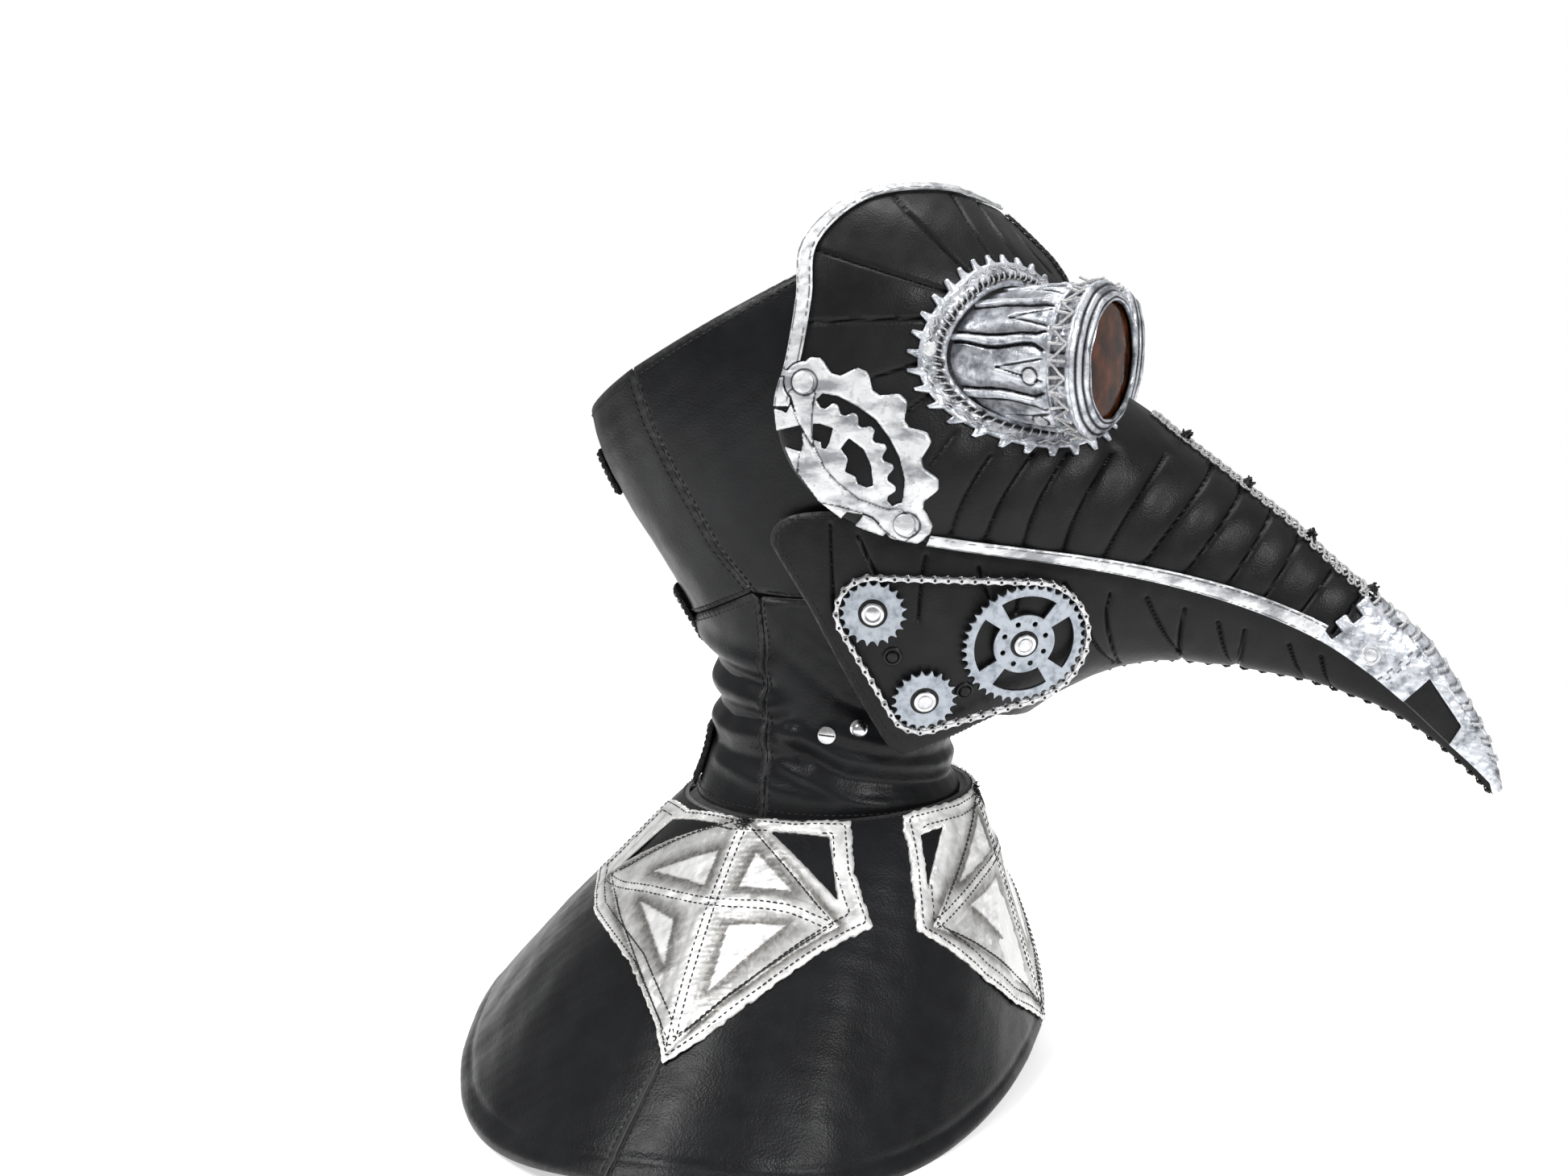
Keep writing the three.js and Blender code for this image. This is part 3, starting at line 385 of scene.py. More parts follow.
def snap(u, v, d, wrap):
    """Moves the grid's points beside an outline onto it, along the grid's own lines."""
    best = np.full(d.shape, np.inf)
    new_u, new_v = u.copy(), v.copy()
    for axis, step in ((0, 1), (0, -1), (1, 1), (1, -1)):
        other = [np.roll(array, step, axis) for array in (d, u, v)]
        share = np.abs(d) / (np.abs(d) + np.abs(other[0]) + 1e-12)
        better = (d * other[0] < 0) & (share <= 0.5) & (share < best)
        if not (wrap and axis == 0):
            edge = [slice(None), slice(None)]
            edge[axis] = 0 if step == 1 else -1
            better[tuple(edge)] = False
        best = np.where(better, share, best)
        new_u = np.where(better, u + share * (other[1] - u), new_u)
        new_v = np.where(better, v + share * (other[2] - v), new_v)
    return new_u, new_v, np.isfinite(best)


def skin(surface, u, v, low, high, outside=None, texture=None, edge=(0.5, 0.88), wrap=False, shape=None):
    """A piece of leather or plate on a surface, from low to high above it, with rounded edges. outside
    says how far each point is outside the piece's outline, and texture how much it rises or sinks and
    how open it lies. edge is the height of the outermost two rings of points, as shares."""
    u, v = (np.array(array, float) for array in np.broadcast_arrays(u, v))
    state, d = -np.ones(u.shape), -np.ones(u.shape)
    if outside is not None:
        d = outside(surface(u, v), u, v)
        u, v, on = snap(u, v, d, wrap)
        state = np.where(on, 0, np.sign(d))
    p, n = surface(u, v), normals(surface, u, v)
    quads = grid_faces(*u.shape, wrap_rows=wrap)
    s = state.ravel()[quads]
    out = s > 0
    keep = ~out.any(1) & ((s < 0).any(1) | (d.ravel()[quads].mean(1) < 0))
    cut = (out.sum(1) == 1) & (s < 0).any(1)
    corner, loose = quads[cut], np.argmax(out[cut], 1)
    rows = np.arange(len(corner))
    triangles = np.stack([corner[rows, (loose + k) % 4] for k in (1, 2, 3)], -1)
    quads = quads[keep]
    used, index = np.unique(np.concatenate([quads.ravel(), triangles.ravel()]), return_inverse=True)
    quads, triangles = index[: quads.size].reshape(-1, 4), index[quads.size :].reshape(-1, 3)
    p, n, u, v = p.reshape(-1, 3)[used], n.reshape(-1, 3)[used], u.ravel()[used], v.ravel()[used]
    count = len(used)
    sides = [np.stack([f, np.roll(f, -1, 1)], -1).swapaxes(0, 1) for f in (quads, triangles)]
    pairs = np.vstack([side.reshape(-1, 2) for side in sides])
    rim = pairs[~np.isin(pairs[:, 0] * count + pairs[:, 1], pairs[:, 1] * count + pairs[:, 0])]
    ring = np.full(count, 3)
    ring[rim.ravel()] = 0
    for level in (1, 2):
        for f in (quads, triangles):
            touched = f[(ring[f] == level - 1).any(1)].ravel()
            ring[touched] = np.minimum(ring[touched], level)
    low, high = (value(u) if callable(value) else np.full(count, float(value)) for value in (low, high))
    height = mix(low, high, np.array([edge[0], edge[1], 1, 1])[ring])
    relief = np.ones(count)
    if texture is not None:
        rise, relief = texture(p, u, v)
        height = height + rise * np.array([0.3, 0.8, 1, 1])[ring]
    top, bottom = p + n * height[:, None], p + n * low[:, None]
    a, b = rim[:, 0], rim[:, 1]
    wall = np.stack([a, b, b + count, a + count], -1)
    return (shape or Shape()).add(
        np.vstack([top, bottom]),
        [quads[:, ::-1], triangles[:, ::-1], quads + count, triangles + count, wall],
        np.concatenate([np.broadcast_to(relief, count), np.ones(count)]),
        np.concatenate([np.array([1, 0.45, 0.1, 0])[ring], np.zeros(count)]),
    )


def lathe(profile, place, segments=48, shape=None, twist=None, relief=1.0):
    """A turned piece: (radius, height) pairs round a frame's axis, from axis to axis or in a loop."""
    profile = np.array(profile, float)
    solid = profile[0, 0] == 0
    body = profile[1:-1] if solid else profile
    angle = np.arange(segments) * 2 * np.pi / segments
    radius, height = body[:, :1], body[:, 1:]
    if twist is not None:
        radius, height = twist(radius, height, angle[None, :])
    points = place.round(radius, angle, height + 0 * angle).reshape(-1, 3)
    faces = [grid_faces(len(body), segments, wrap_rows=not solid, wrap_cols=True)[:, ::-1]]
    if solid:
        ring, count = np.arange(segments), len(points)
        faces += [fan(count, ring, -1), fan(count + 1, ring + count - segments)]
        points = np.vstack([points, place.at([0, 0], [0, 0], profile[[0, -1], 1])])
    if not np.isscalar(relief):
        relief = np.repeat(relief, segments)
    return (shape or Shape()).add(points, faces, relief)


def tube(line, radius, sides=6, closed=False, shape=None):
    """A round cord along a line."""
    line = np.array(line, float)
    ahead = unit(np.roll(line, -1, 0) - np.roll(line, 1, 0)) if closed else unit(np.gradient(line, axis=0))
    across = unit(np.cross(ahead, [0.3, 0.5, 0.81]))
    up = np.cross(across, ahead)
    angle = (np.arange(sides) * 2 * np.pi / sides)[None, :, None]
    points = line[:, None] + radius * (np.cos(angle) * across[:, None] + np.sin(angle) * up[:, None])
    faces = [grid_faces(len(line), sides, wrap_rows=closed, wrap_cols=True)]
    points = points.reshape(-1, 3)
    if not closed:
        ring, count = np.arange(sides), len(points)
        faces += [fan(count, ring), fan(count + 1, ring + count - sides, -1)]
        points = np.vstack([points, line[:1], line[-1:]])
    return (shape or Shape()).add(points, faces)


def run_along(line):
    return np.concatenate([[0], np.cumsum(np.linalg.norm(np.diff(line, axis=0), axis=1))])


def at_run(line, at):
    return np.stack([np.interp(at, run_along(line), column) for column in line.T], -1)


def resample(line, step):
    return at_run(line, np.arange(0, run_along(line)[-1], step))


def sew(shape, points, up, spacing, length, radius, arch, run=(-0.5, -0.25, 0, 0.25, 0.5)):
    """Thread stitches along a line. run and arch say where a stitch's points lie, as shares of its
    length along the line and as heights above it."""
    both = resample(np.hstack([points, up]), spacing)
    ahead = unit(np.gradient(both[:, :3], axis=0))
    run, arch = np.array(run)[:, None] * length, np.array(arch)[:, None]
    for point, normal, along in zip(both[:, :3], unit(both[:, 3:]), ahead):
        tube(point + along * run + normal * arch, radius, 5, shape=shape)


def stitches(shape, surface, uv, lift, spacing, length, radius):
    """Thread stitches along a line of (u, v) points, lift above a surface."""
    uv, knots = np.array(uv, float), np.arange(len(uv))
    u, v = (np.interp(np.linspace(0, knots[-1], 6 * len(uv)), knots, uv[:, k]) for k in (0, 1))
    run, arch = (-0.5, -0.3, 0, 0.3, 0.5), lift + 2 * radius * np.array([-0.35, 0.15, 0.3, 0.15, -0.35])
    sew(shape, surface(u, v), normals(surface, u, v), spacing, length, radius, arch, run)


def plate(outline, holes, place, z0, z1, bevel):
    """A flat plate with bevelled edges, cut to an outline with holes, on a frame."""
    curve = bpy.data.curves.new("cutter", "CURVE")
    curve.dimensions, curve.fill_mode = "2D", "BOTH"
    curve.extrude, curve.bevel_depth, curve.bevel_resolution = (z1 - z0) / 2 - bevel, bevel, 1
    curve.offset = -bevel
    for loop in [outline, *holes]:
        spline = curve.splines.new("POLY")
        spline.points.add(len(loop) - 1)
        for point, (a, b) in zip(spline.points, loop):
            point.co = (a, b, 0, 1)
        spline.use_cyclic_u = True
    cutter = bpy.data.objects.new("cutter", curve)
    bpy.context.scene.collection.objects.link(cutter)
    mesh = bpy.data.meshes.new_from_object(cutter.evaluated_get(bpy.context.evaluated_depsgraph_get()))
    co = np.array([v.co for v in mesh.vertices])
    bpy.data.objects.remove(cutter)
    faces = {3: [], 4: []}
    for polygon in mesh.polygons:
        faces[len(polygon.vertices)].append(tuple(polygon.vertices))
    edge = np.abs(co[:, 2]) < (z1 - z0) / 2 - bevel * 0.4
    points = place.at(co[:, 0], co[:, 1], co[:, 2] + (z0 + z1) / 2)
    return Shape().add(points, faces.values(), 1, edge.astype(float))


def circle(radius, count, centre=(0, 0)):
    a = np.arange(count) * 2 * np.pi / count
    return np.stack([centre[0] + radius * np.cos(a), centre[1] + radius * np.sin(a)], -1)


# ---- Materials ----------------------------------------------------------------------------------------
class Paint:
    """A procedural material in the making. Noise and grain sizes are in millimetres."""

    def __init__(self, name, roughness=0.4, metallic=0.0, specular=0.5, **sockets):
        self.material = bpy.data.materials.new(name)
        self.material.use_nodes = True
        self.tree = self.material.node_tree
        self.shader = self.tree.nodes["Principled BSDF"]
        self.place = self.tree.nodes.new("ShaderNodeTexCoord").outputs["Object"]
        self.normal = None
        sockets = {"Roughness": roughness, "Metallic": metallic, "Specular IOR Level": specular, **sockets}
        for key, value in sockets.items():
            self.shader.inputs[key].default_value = value

    def node(self, kind, inputs, **settings):
        node = self.tree.nodes.new(kind)
        for key, value in settings.items():
            setattr(node, key, value)
        for key, value in inputs.items():
            if isinstance(value, bpy.types.NodeSocket):
                self.tree.links.new(value, node.inputs[key])
            else:
                node.inputs[key].default_value = value
        return node

    def noise(self, size, detail=3, stretch=None):
        place = self.place
        if stretch is not None:
            place = self.node("ShaderNodeMapping", {"Vector": place, "Scale": stretch}).outputs[0]
        settings = {"Vector": place, "Scale": 1000 / size, "Detail": detail, "Roughness": 0.6}
        return self.node("ShaderNodeTexNoise", settings).outputs["Fac"]

    def cells(self, size):
        settings = {"Vector": self.place, "Scale": 1000 / size}
        return self.node("ShaderNodeTexVoronoi", settings).outputs["Distance"]

    def value(self, name):
        return self.node("ShaderNodeAttribute", {}, attribute_name=name).outputs["Fac"]

    def math(self, operation, a, b):
        return self.node("ShaderNodeMath", {0: a, 1: b}, operation=operation).outputs[0]

    def ramp(self, fac, *stops):
        node = self.node("ShaderNodeValToRGB", {"Fac": fac})
        while len(node.color_ramp.elements) < len(stops):
            node.color_ramp.elements.new(0.5)
        for element, (position, colour) in zip(node.color_ramp.elements, stops):
            element.position = position
            element.color = (*([colour] * 3 if isinstance(colour, float) else colour), 1)
        return node.outputs[0]

    def blend(self, fac, a, b):
        node = self.node("ShaderNodeMix", {"Factor": fac}, data_type="RGBA")
        for key, value in ((6, a), (7, b)):
            if isinstance(value, bpy.types.NodeSocket):
                self.tree.links.new(value, node.inputs[key])
            else:
                node.inputs[key].default_value = (*value, 1)
        return node.outputs[2]

    def bump(self, height, depth, strength=1.0):
        inputs = {"Height": height, "Distance": depth * MM, "Strength": strength}
        if self.normal:
            inputs["Normal"] = self.normal
        self.normal = self.node("ShaderNodeBump", inputs).outputs[0]

    def done(self, colour, roughness=None):
        self.tree.links.new(colour, self.shader.inputs["Base Color"])
        if roughness:
            self.tree.links.new(roughness, self.shader.inputs["Roughness"])
        if self.normal:
            self.tree.links.new(self.normal, self.shader.inputs["Normal"])
        return self.material


def leather(name, dark, light, shine, grain, crease, specular):
    paint = Paint(name, specular=specular)
    cloud = paint.noise(24, 4)
    colour = paint.ramp(cloud, (0.3, dark), (0.75, light))
    worn = paint.math("MULTIPLY", paint.value("edge"), paint.noise(3, 3))
    colour = paint.blend(worn, colour, (0.1, 0.1, 0.1))
    # Painted shade: where relief is low, in the carved grooves, the leather is darkened towards black.
    hollow = paint.ramp(paint.value("relief"), (0.0, 0.9), (0.8, 0.0))
    colour = paint.blend(hollow, colour, (0.002, 0.002, 0.002))
    paint.bump(paint.cells(grain), 0.12, 0.55)
    paint.bump(paint.noise(grain * 0.35, 2), 0.05, 0.4)
    paint.bump(paint.noise(crease, 5), 0.5, 0.4)
    gloss = paint.noise(9, 4)
    return paint.done(colour, paint.ramp(gloss, (0.3, shine[0]), (0.7, shine[1])))


def silver(name, dull, bright, wash_and_shade, metallic, roughness, streak):
    """Silver paint over leather, brushed unevenly and scuffed. Low relief darkens it: a dark wash in hollows,
    and painted shade round rivets and beside raised parts.
    """
    paint = Paint(name, metallic=metallic, roughness=roughness)
    colour = paint.ramp(paint.noise(7, 6, streak), (0.36, dull), (0.54, bright), (0.9, bright))
    scuffs = paint.ramp(paint.noise(2.2, 5), (0.58, 0.0), (0.72, 0.7))
    colour = paint.blend(scuffs, colour, dull)
    # Where relief is low the paint darkens: a dark wash in the hollows, and painted shade where a piece
    # lowered its relief to draw it.
    hollow = paint.math("SUBTRACT", paint.value("relief"), paint.math("MULTIPLY", paint.noise(2.5, 4), 0.3))
    colour = paint.blend(paint.ramp(hollow, (0.0, 1.0), (0.35, 0.55), (0.7, 0.0)), colour, wash_and_shade)
    paint.bump(paint.cells(0.8), 0.08, 0.4)
    paint.bump(paint.noise(2.5, 5), 0.3, 0.5)
    rough = paint.ramp(paint.noise(3, 4), (0.35, roughness * 0.7), (0.7, roughness * 1.4))
    return paint.done(colour, rough)


def metal(name, colour, tarnish, roughness):
    paint = Paint(name, metallic=1.0)
    spots = paint.ramp(paint.noise(3.5, 5), (0.45, 0.0), (0.75, 0.8))
    base = paint.blend(spots, colour, tarnish)
    # Painted shade: the metal is darkened towards black where relief is low.
    base = paint.blend(paint.ramp(paint.value("relief"), (0.0, 0.9), (0.7, 0.0)), base, (0.01, 0.01, 0.01))
    paint.bump(paint.noise(0.7, 4), 0.03, 0.5)
    rough = paint.ramp(paint.noise(2, 4), (0.3, roughness), (0.8, roughness * 2))
    return paint.done(base, rough)


def thread(name, colour, light, metallic=0.0):
    paint = Paint(name, roughness=0.55, metallic=metallic)
    base = paint.ramp(paint.noise(0.6, 3), (0.3, colour), (0.8, light))
    paint.bump(paint.noise(0.3, 2), 0.08, 0.8)
    return paint.done(base)


def foil():
    """Silver foil leather: relief 1 is bare and bright, and lower values are airbrushed grey."""
    paint = Paint("foil", metallic=0.45, roughness=0.36)
    streaks = paint.noise(5, 6, (1, 1, 0.35))
    bright = paint.ramp(streaks, (0.3, (0.7, 0.7, 0.7)), (0.55, (0.92, 0.92, 0.91)), (1.0, (1.0, 1.0, 1.0)))
    smear = paint.noise(1.6, 6, (1, 1, 0.3))
    grey = paint.ramp(smear, (0.25, (0.07, 0.067, 0.062)), (0.75, (0.34, 0.33, 0.31)))
    spray = paint.math("ADD", paint.value("relief"), paint.math("MULTIPLY", paint.noise(2.5, 6), 0.3))
    colour = paint.blend(paint.ramp(spray, (0.35, 1.0), (0.95, 0.0)), bright, grey)
    colour = paint.blend(paint.ramp(paint.value("edge"), (0.2, 0.0), (0.7, 0.9)), colour, (0.8, 0.79, 0.77))
    paint.bump(paint.noise(1.3, 5), 0.18, 0.7)
    paint.bump(paint.cells(0.6), 0.05, 0.4)
    return paint.done(colour, paint.ramp(streaks, (0.3, 0.28), (0.7, 0.5)))


def glass():
    paint = Paint("amber_glass", roughness=0.06, **{"Transmission Weight": 0.35, "IOR": 1.5})
    stops = ((0.35, (0.018, 0.006, 0.002)), (0.52, (0.085, 0.022, 0.006)), (0.75, (0.2, 0.06, 0.018)))
    colour = paint.ramp(paint.noise(9, 3), *stops)
    paint.bump(paint.noise(14, 2), 0.2, 0.3)
    return paint.done(colour)


def hook_tape():
    paint = Paint("hook_tape", roughness=0.9, specular=0.2)
    weave = paint.cells(0.9)
    colour = paint.ramp(weave, (0.1, (0.03, 0.03, 0.03)), (0.6, (0.006, 0.006, 0.006)))
    paint.bump(weave, 0.5, 1)
    return paint.done(colour)


MOULDED = leather("moulded_leather", (0.005, 0.005, 0.0055), (0.014, 0.014, 0.015), (0.3, 0.46), 0.7, 16, 0.2)
SOFT = leather("soft_leather", (0.004, 0.0042, 0.005), (0.009, 0.0095, 0.011), (0.3, 0.42), 0.85, 9, 0.22)
PAINTED = silver(
    "silver_paint", (0.3, 0.31, 0.33), (0.8, 0.81, 0.82), (0.03, 0.03, 0.035), 0.35, 0.34, (1, 0.35, 1)
)
AGED = silver(
    "aged_silver", (0.2, 0.215, 0.245), (0.72, 0.75, 0.8), (0.012, 0.013, 0.016), 0.5, 0.3, (0.6, 1, 1)
)
FOIL = foil()
STEEL = metal("bright_steel", (0.68, 0.68, 0.69), (0.3, 0.31, 0.33), 0.16)
WHEEL = metal("sprocket_steel", (0.38, 0.41, 0.45), (0.1, 0.12, 0.15), 0.24)
CHAIN = metal("chain_steel", (0.6, 0.6, 0.61), (0.16, 0.165, 0.17), 0.2)
BLACK_METAL = metal("black_metal", (0.03, 0.03, 0.03), (0.01, 0.01, 0.01), 0.25)
THREAD = thread("black_thread", (0.004, 0.004, 0.004), (0.018, 0.018, 0.018))
SILVER_CORD = thread("silver_cord", (0.25, 0.25, 0.26), (0.9, 0.9, 0.9), 0.4)
GLASS = glass()
TAPE = hook_tape()


# ---- The moulded mask ---------------------------------------------------------------------------------
FOREHEAD_GROOVES = [
    [(0.141, 0.973), (0.181, 0.602)], [(0.201, 0.963), (0.209, 0.61)], [(0.265, 0.775), (0.256, 0.615)],
    [(0.08, 0.912), (0.159, 0.532)], [(0.046, 0.865), (0.14, 0.427)], [(0.015, 1), (0.149, 0.297)],
    [(0.04, 0.225), (0.152, 0.145)], [(0.303, 0.708), (0.287, 0.605)], [(0.361, 0.752), (0.338, 0.642)],
]
BEAK_GROOVES = [
    [(0.38, 0.635), (0.448, 0.947)], [(0.402, 0.56), (0.48, 0.973)], [(0.427, 0.508), (0.513, 0.988)],
    [(0.463, 0.43), (0.542, 0.983)], [(0.512, 0.293), (0.571, 0.968)], [(0.568, 0.095), (0.603, 0.975)],
    [(0.615, 0.05), (0.637, 0.972)], [(0.659, 0.06), (0.674, 0.98)], [(0.699, 0.06), (0.707, 0.985)],
    [(0.745, 0), (0.74, 0.998)], [(0.782, 0.21), (0.776, 0.875)],
]
JAW_GROOVES = [
    [(0.378, 0.15), (0.432, 0.748)], [(0.434, 0.19), (0.428, 0.358), (0.44, 0.778)],
    [(0.478, 0.197), (0.523, 0.682)], [(0.523, 0.237), (0.521, 0.547), (0.529, 1)],
    [(0.564, 0.29), (0.598, 0.97)], [(0.597, 0.298), (0.599, 0.975)], [(0.653, 0.31), (0.691, 0.923)],
    [(0.695, 0.31), (0.723, 0.927)], [(0.104, 0.04), (0.062, 0.212)], [(0.136, 0.058), (0.144, 0.192)],
    [(0.218, 0.083), (0.178, 0.257)], [(0.28, 0.102), (0.289, 0.38)], [(0.332, 0.122), (0.314, 0.26)],
]
MASK_LEATHER = 2.4
CHEEK = (-28, -6)
CHEEK_RIVET = (-27.5, 31)
JAW_PIVOT = (-62.5, -19.5)
EYE_HOLE = 21
STRIP_WIDTH = 7.5
SPINE_START, TICK_PITCH, RIDGE_LENGTH = 0.775, 0.0175, 330  # the last in mm for u from 0 to 1
WIDTH = 0.7  # of a carved groove, from its middle to its lip


def straight(points):
    """A line over the mask that looks straight from the side."""
    ends = mask_at(*np.array(points).T)
    u, v, miss = side_drape(mask_at, dense(ends[:, 1:], 1.0), points[-1])
    found = mask_at(u, v)[miss < 0.4]
    return found if len(found) > 0.8 * len(u) else trace(mask_at, points)


def grooved(surface, carved):
    """Grooves cut into the leather: (lines, depth, height of the padding beside them)."""
    lines = [
        (straight(points) if grooves is FOREHEAD_GROOVES else trace(surface, points), depth, pad)
        for grooves, depth, pad in carved for points in grooves
    ]

    def texture(p, u, v):
        rise, relief = 0.12 * waves(p, 9, 3), np.ones(len(p))
        for line, depth, pad in lines:
            d = near(p, line, 8)
            rise = rise - depth * bell(d, WIDTH) - pad * bell(d, 3.2)
            relief = relief - bell(d, (WIDTH * 0.9))
        return rise, np.clip(relief, 0, 1)

    return texture


def goggle_polar(p):
    a, b, c = GOGGLE.local(p)
    return np.hypot(a, b), np.arctan2(b, a), c


def round_side_view(p, centre, radius):
    """How far inside a circle of the side view each point is."""
    return radius - np.hypot(p[..., 1] - centre[0], p[..., 2] - centre[1])


def rivet_holes(p):
    return [round_side_view(p, centre, 2.6) for centre in (JAW_PIVOT, CHEEK_RIVET)]


def inner_face(edge):
    """The height of the leather's inner face, which thins where the two halves meet at the tip."""
    return lambda u: -np.minimum(MASK_LEATHER, -0.45 * edge(u)[..., 0])


U, V = net((0, 1, 430), (0, 1, 130))
mask = skin(
    mask_at, U, V, inner_face(edge_curve), 0,
    lambda p, u, v: np.maximum.reduce([EYE_HOLE - goggle_polar(p)[0], *rivet_holes(p)]),
    grooved(mask_at, [(FOREHEAD_GROOVES, 1.1, 0.12), (BEAK_GROOVES, 1.2, 0.75)]),
)
make("mask_leather", mask, MOULDED, "mask", ["mask_shell"])


def axle_hole(p, place, radius):
    a, b, _ = place.local(p)
    return radius - np.hypot(a, b)


U, V = net((0, 1, 400), (0, 1, 170))
JAW_OUTLINE = [  # seen from the side, and open towards the beak
    (-300, 0), (-60, 0), (-40, -16), *arc_curve((-40, -16), (-10, -15), (-12, -29)), (-26, -52), (-50, -100),
    *arc_curve((-50, -100), (-55, -112), (-62, -111)), (-92, -97), (-300, -160),
]
jaw = skin(
    jaw_at, U, V, inner_face(jaw_edge_curve), 0,
    lambda p, u, v: np.maximum.reduce([
        outline_sd(p[..., 1], p[..., 2], JAW_OUTLINE),
        *(axle_hole(p, place, 2.4) for place in (UPPER, LOWER, RING)),
    ]),
    grooved(jaw_at, [(JAW_GROOVES, 1.2, 0.3)]),
)
make("jaw_leather", jaw, MOULDED, "jaw", ["jaw_shell"])


def edge_strip_at(u, w):
    rim = edge_curve(u)
    across = rim - np.concatenate([0 * rim[..., :1], ridge_curve(u)], -1)
    share = np.minimum(0.6, STRIP_WIDTH / (np.linalg.norm(across, axis=-1) * np.pi / 2))
    return mask_at(u, 1 - share * (1 - w))


def strip_texture(p, u, w):
    rise = 0.28 * waves(p, 4.5, 5) + 0.2 * waves(p, 12, 6)
    seam = bell(w - 0.16, 0.07) + bell(w - 0.9, 0.06)
    return rise - 0.25 * seam, 1 - 0.8 * seam * (waves(p, 3, 9) > -0.2)


ARMOUR_TOOTH = 4.6
start, top = mask_at(0.762, 1.0)[1:], mask_at(0.787, 0.0)[1:]
length = float(np.linalg.norm(top - start))
along = (top - start) / length
forward = np.array([-along[1], along[0]])


def armour_point(a, b):
    return start + along * a + forward * b


rear = [armour_point(-20, 0)]
for k in range(int(length / ARMOUR_TOOTH) + 4):
    out = ARMOUR_TOOTH * (k % 2)
    rear += [armour_point(k * ARMOUR_TOOTH, out), armour_point((k + 1) * ARMOUR_TOOTH, out)]
ARMOUR = rear + [armour_point(a, b) for a, b in ((length + 40, 0), (length + 40, 160), (-60, 160), (-60, 0))]
TIP_WINDOW = [(-233, -95), (-249.5, -79.5), (-262, -97.5), (-256, -108)]
FRINGE = np.array([(-244.3, -68.6), (-230.4, -79.7)])


def armour_outside(p, u, v):
    y, z = p[..., 1], p[..., 2]
    return np.maximum(outline_sd(y, z, ARMOUR), -outline_sd(y, z, TIP_WINDOW))


def spine_reach(u):
    return 0.32 + 0.8 * (u - SPINE_START)


def armour_texture(p, u, v):
    side = p[:, 1:] - FRINGE[0]
    e = unit(FRINGE[1] - FRINGE[0])
    run, off = side @ e, side @ np.array([-e[1], e[0]])
    teeth = np.where(np.mod(run, 4.4) < 2.2, 2.2, 0.0)
    inside = (run > 0) & (run < 18)
    step = np.clip((off + teeth) / 0.6, -1, 1) * inside
    line = bell(off + teeth, 0.5) * inside
    half = TICK_PITCH / 2
    from_tick = np.mod(u - 0.004 * np.sin(9 * v) - SPINE_START + half, TICK_PITCH) - half
    # Painted shadow: dark lines along both sides of each spine tick.
    beside = bell(np.abs(from_tick) * RIDGE_LENGTH - 1.1, 0.45) * (v < spine_reach(u)) * (u > 0.77)
    line = np.maximum(line, 0.8 * beside)
    rise = 0.3 * step + 0.25 * waves(p, 5, 11) + 0.15 * waves(p, 2.2, 12)
    return rise, 1 - 0.9 * line - 0.25 * (waves(p, 3, 13) > 0.55)


U, V = net((17 / 24, 1, 170), (0, 1, 100))
armour = skin(mask_at, U, V, 0.4, 1.5, armour_outside, armour_texture)
make("tip_armour_plate", armour, AGED, "mask", ["tip_armour"])


def on_surface(surface, u, v):
    u, v = np.array([float(u)]), np.array([float(v)])
    return Frame(surface(u, v)[0], normals(surface, u, v)[0])


def dome(place, radius, height, lift, shape, groove):
    """A rivet's head with a groove round its cap."""
    profile = [
        (0, 0), (1, 0), (1, 0.35), (0.93, 0.5), (0.7, 0.5), (0.66, 0.5 - groove / height), (0.6, 0.5),
        (0.52, 0.82), (0.3, 0.96), (0, 1),
    ]
    return lathe([(radius * r, lift + height * z) for r, z in profile], place, 28, shape)


rivets = Shape()
for u, v, radius in ((0.813, 0.84, 3.9), (0.828, 0.118, 3.0)):
    dome(on_surface(mask_at, u, v), radius, 1.6, 1.2, rivets, 0.5)
make("tip_rivets", rivets, PAINTED, "mask")

ticks, knots = Shape(), Shape()
for u in np.arange(SPINE_START, 0.985, TICK_PITCH):
    t = np.linspace(0.03, spine_reach(u), 7)
    arch = 1.7 + 0.35 * np.sin(np.linspace(0, np.pi, 7))
    tube(above(mask_at, u + 0.004 * np.sin(9 * t), t, arch), 0.55, shape=ticks)
make("spine_ticks", ticks, SILVER_CORD, "mask")

for u in np.arange(0.42, 0.985, 0.0235):
    place = on_surface(jaw_at, u, 0.985)
    tube(place.at([-1.4, 0, 1.5], [-0.6, 0.4, -0.3], [0, 0.7, 0.1]), 0.34, shape=knots)
    tube(place.at([-0.5, 0.2, 0.9], [1.6, 0.2, -1.5], [0, 0.8, 0.1]), 0.34, shape=knots)
make("keel_knots", knots, THREAD, "jaw")


def ridge_reach(u):
    """Millimetres per unit of t beside the ridge."""
    return np.linalg.norm(mask_at(u, 0.1 + 0 * u) - mask_at(u, 0 * u), axis=-1) * 10


def crossing(u, pitch, side):
    """How far a lacing cord is over, from 0 to 1, where two cords cross."""
    return 0.5 + 0.5 * np.sin(u * 2 * np.pi / pitch + (0 if side > 0 else np.pi))


LACE_START, LACE_END, LACE_PITCH = 0.446, 0.79, 0.0165
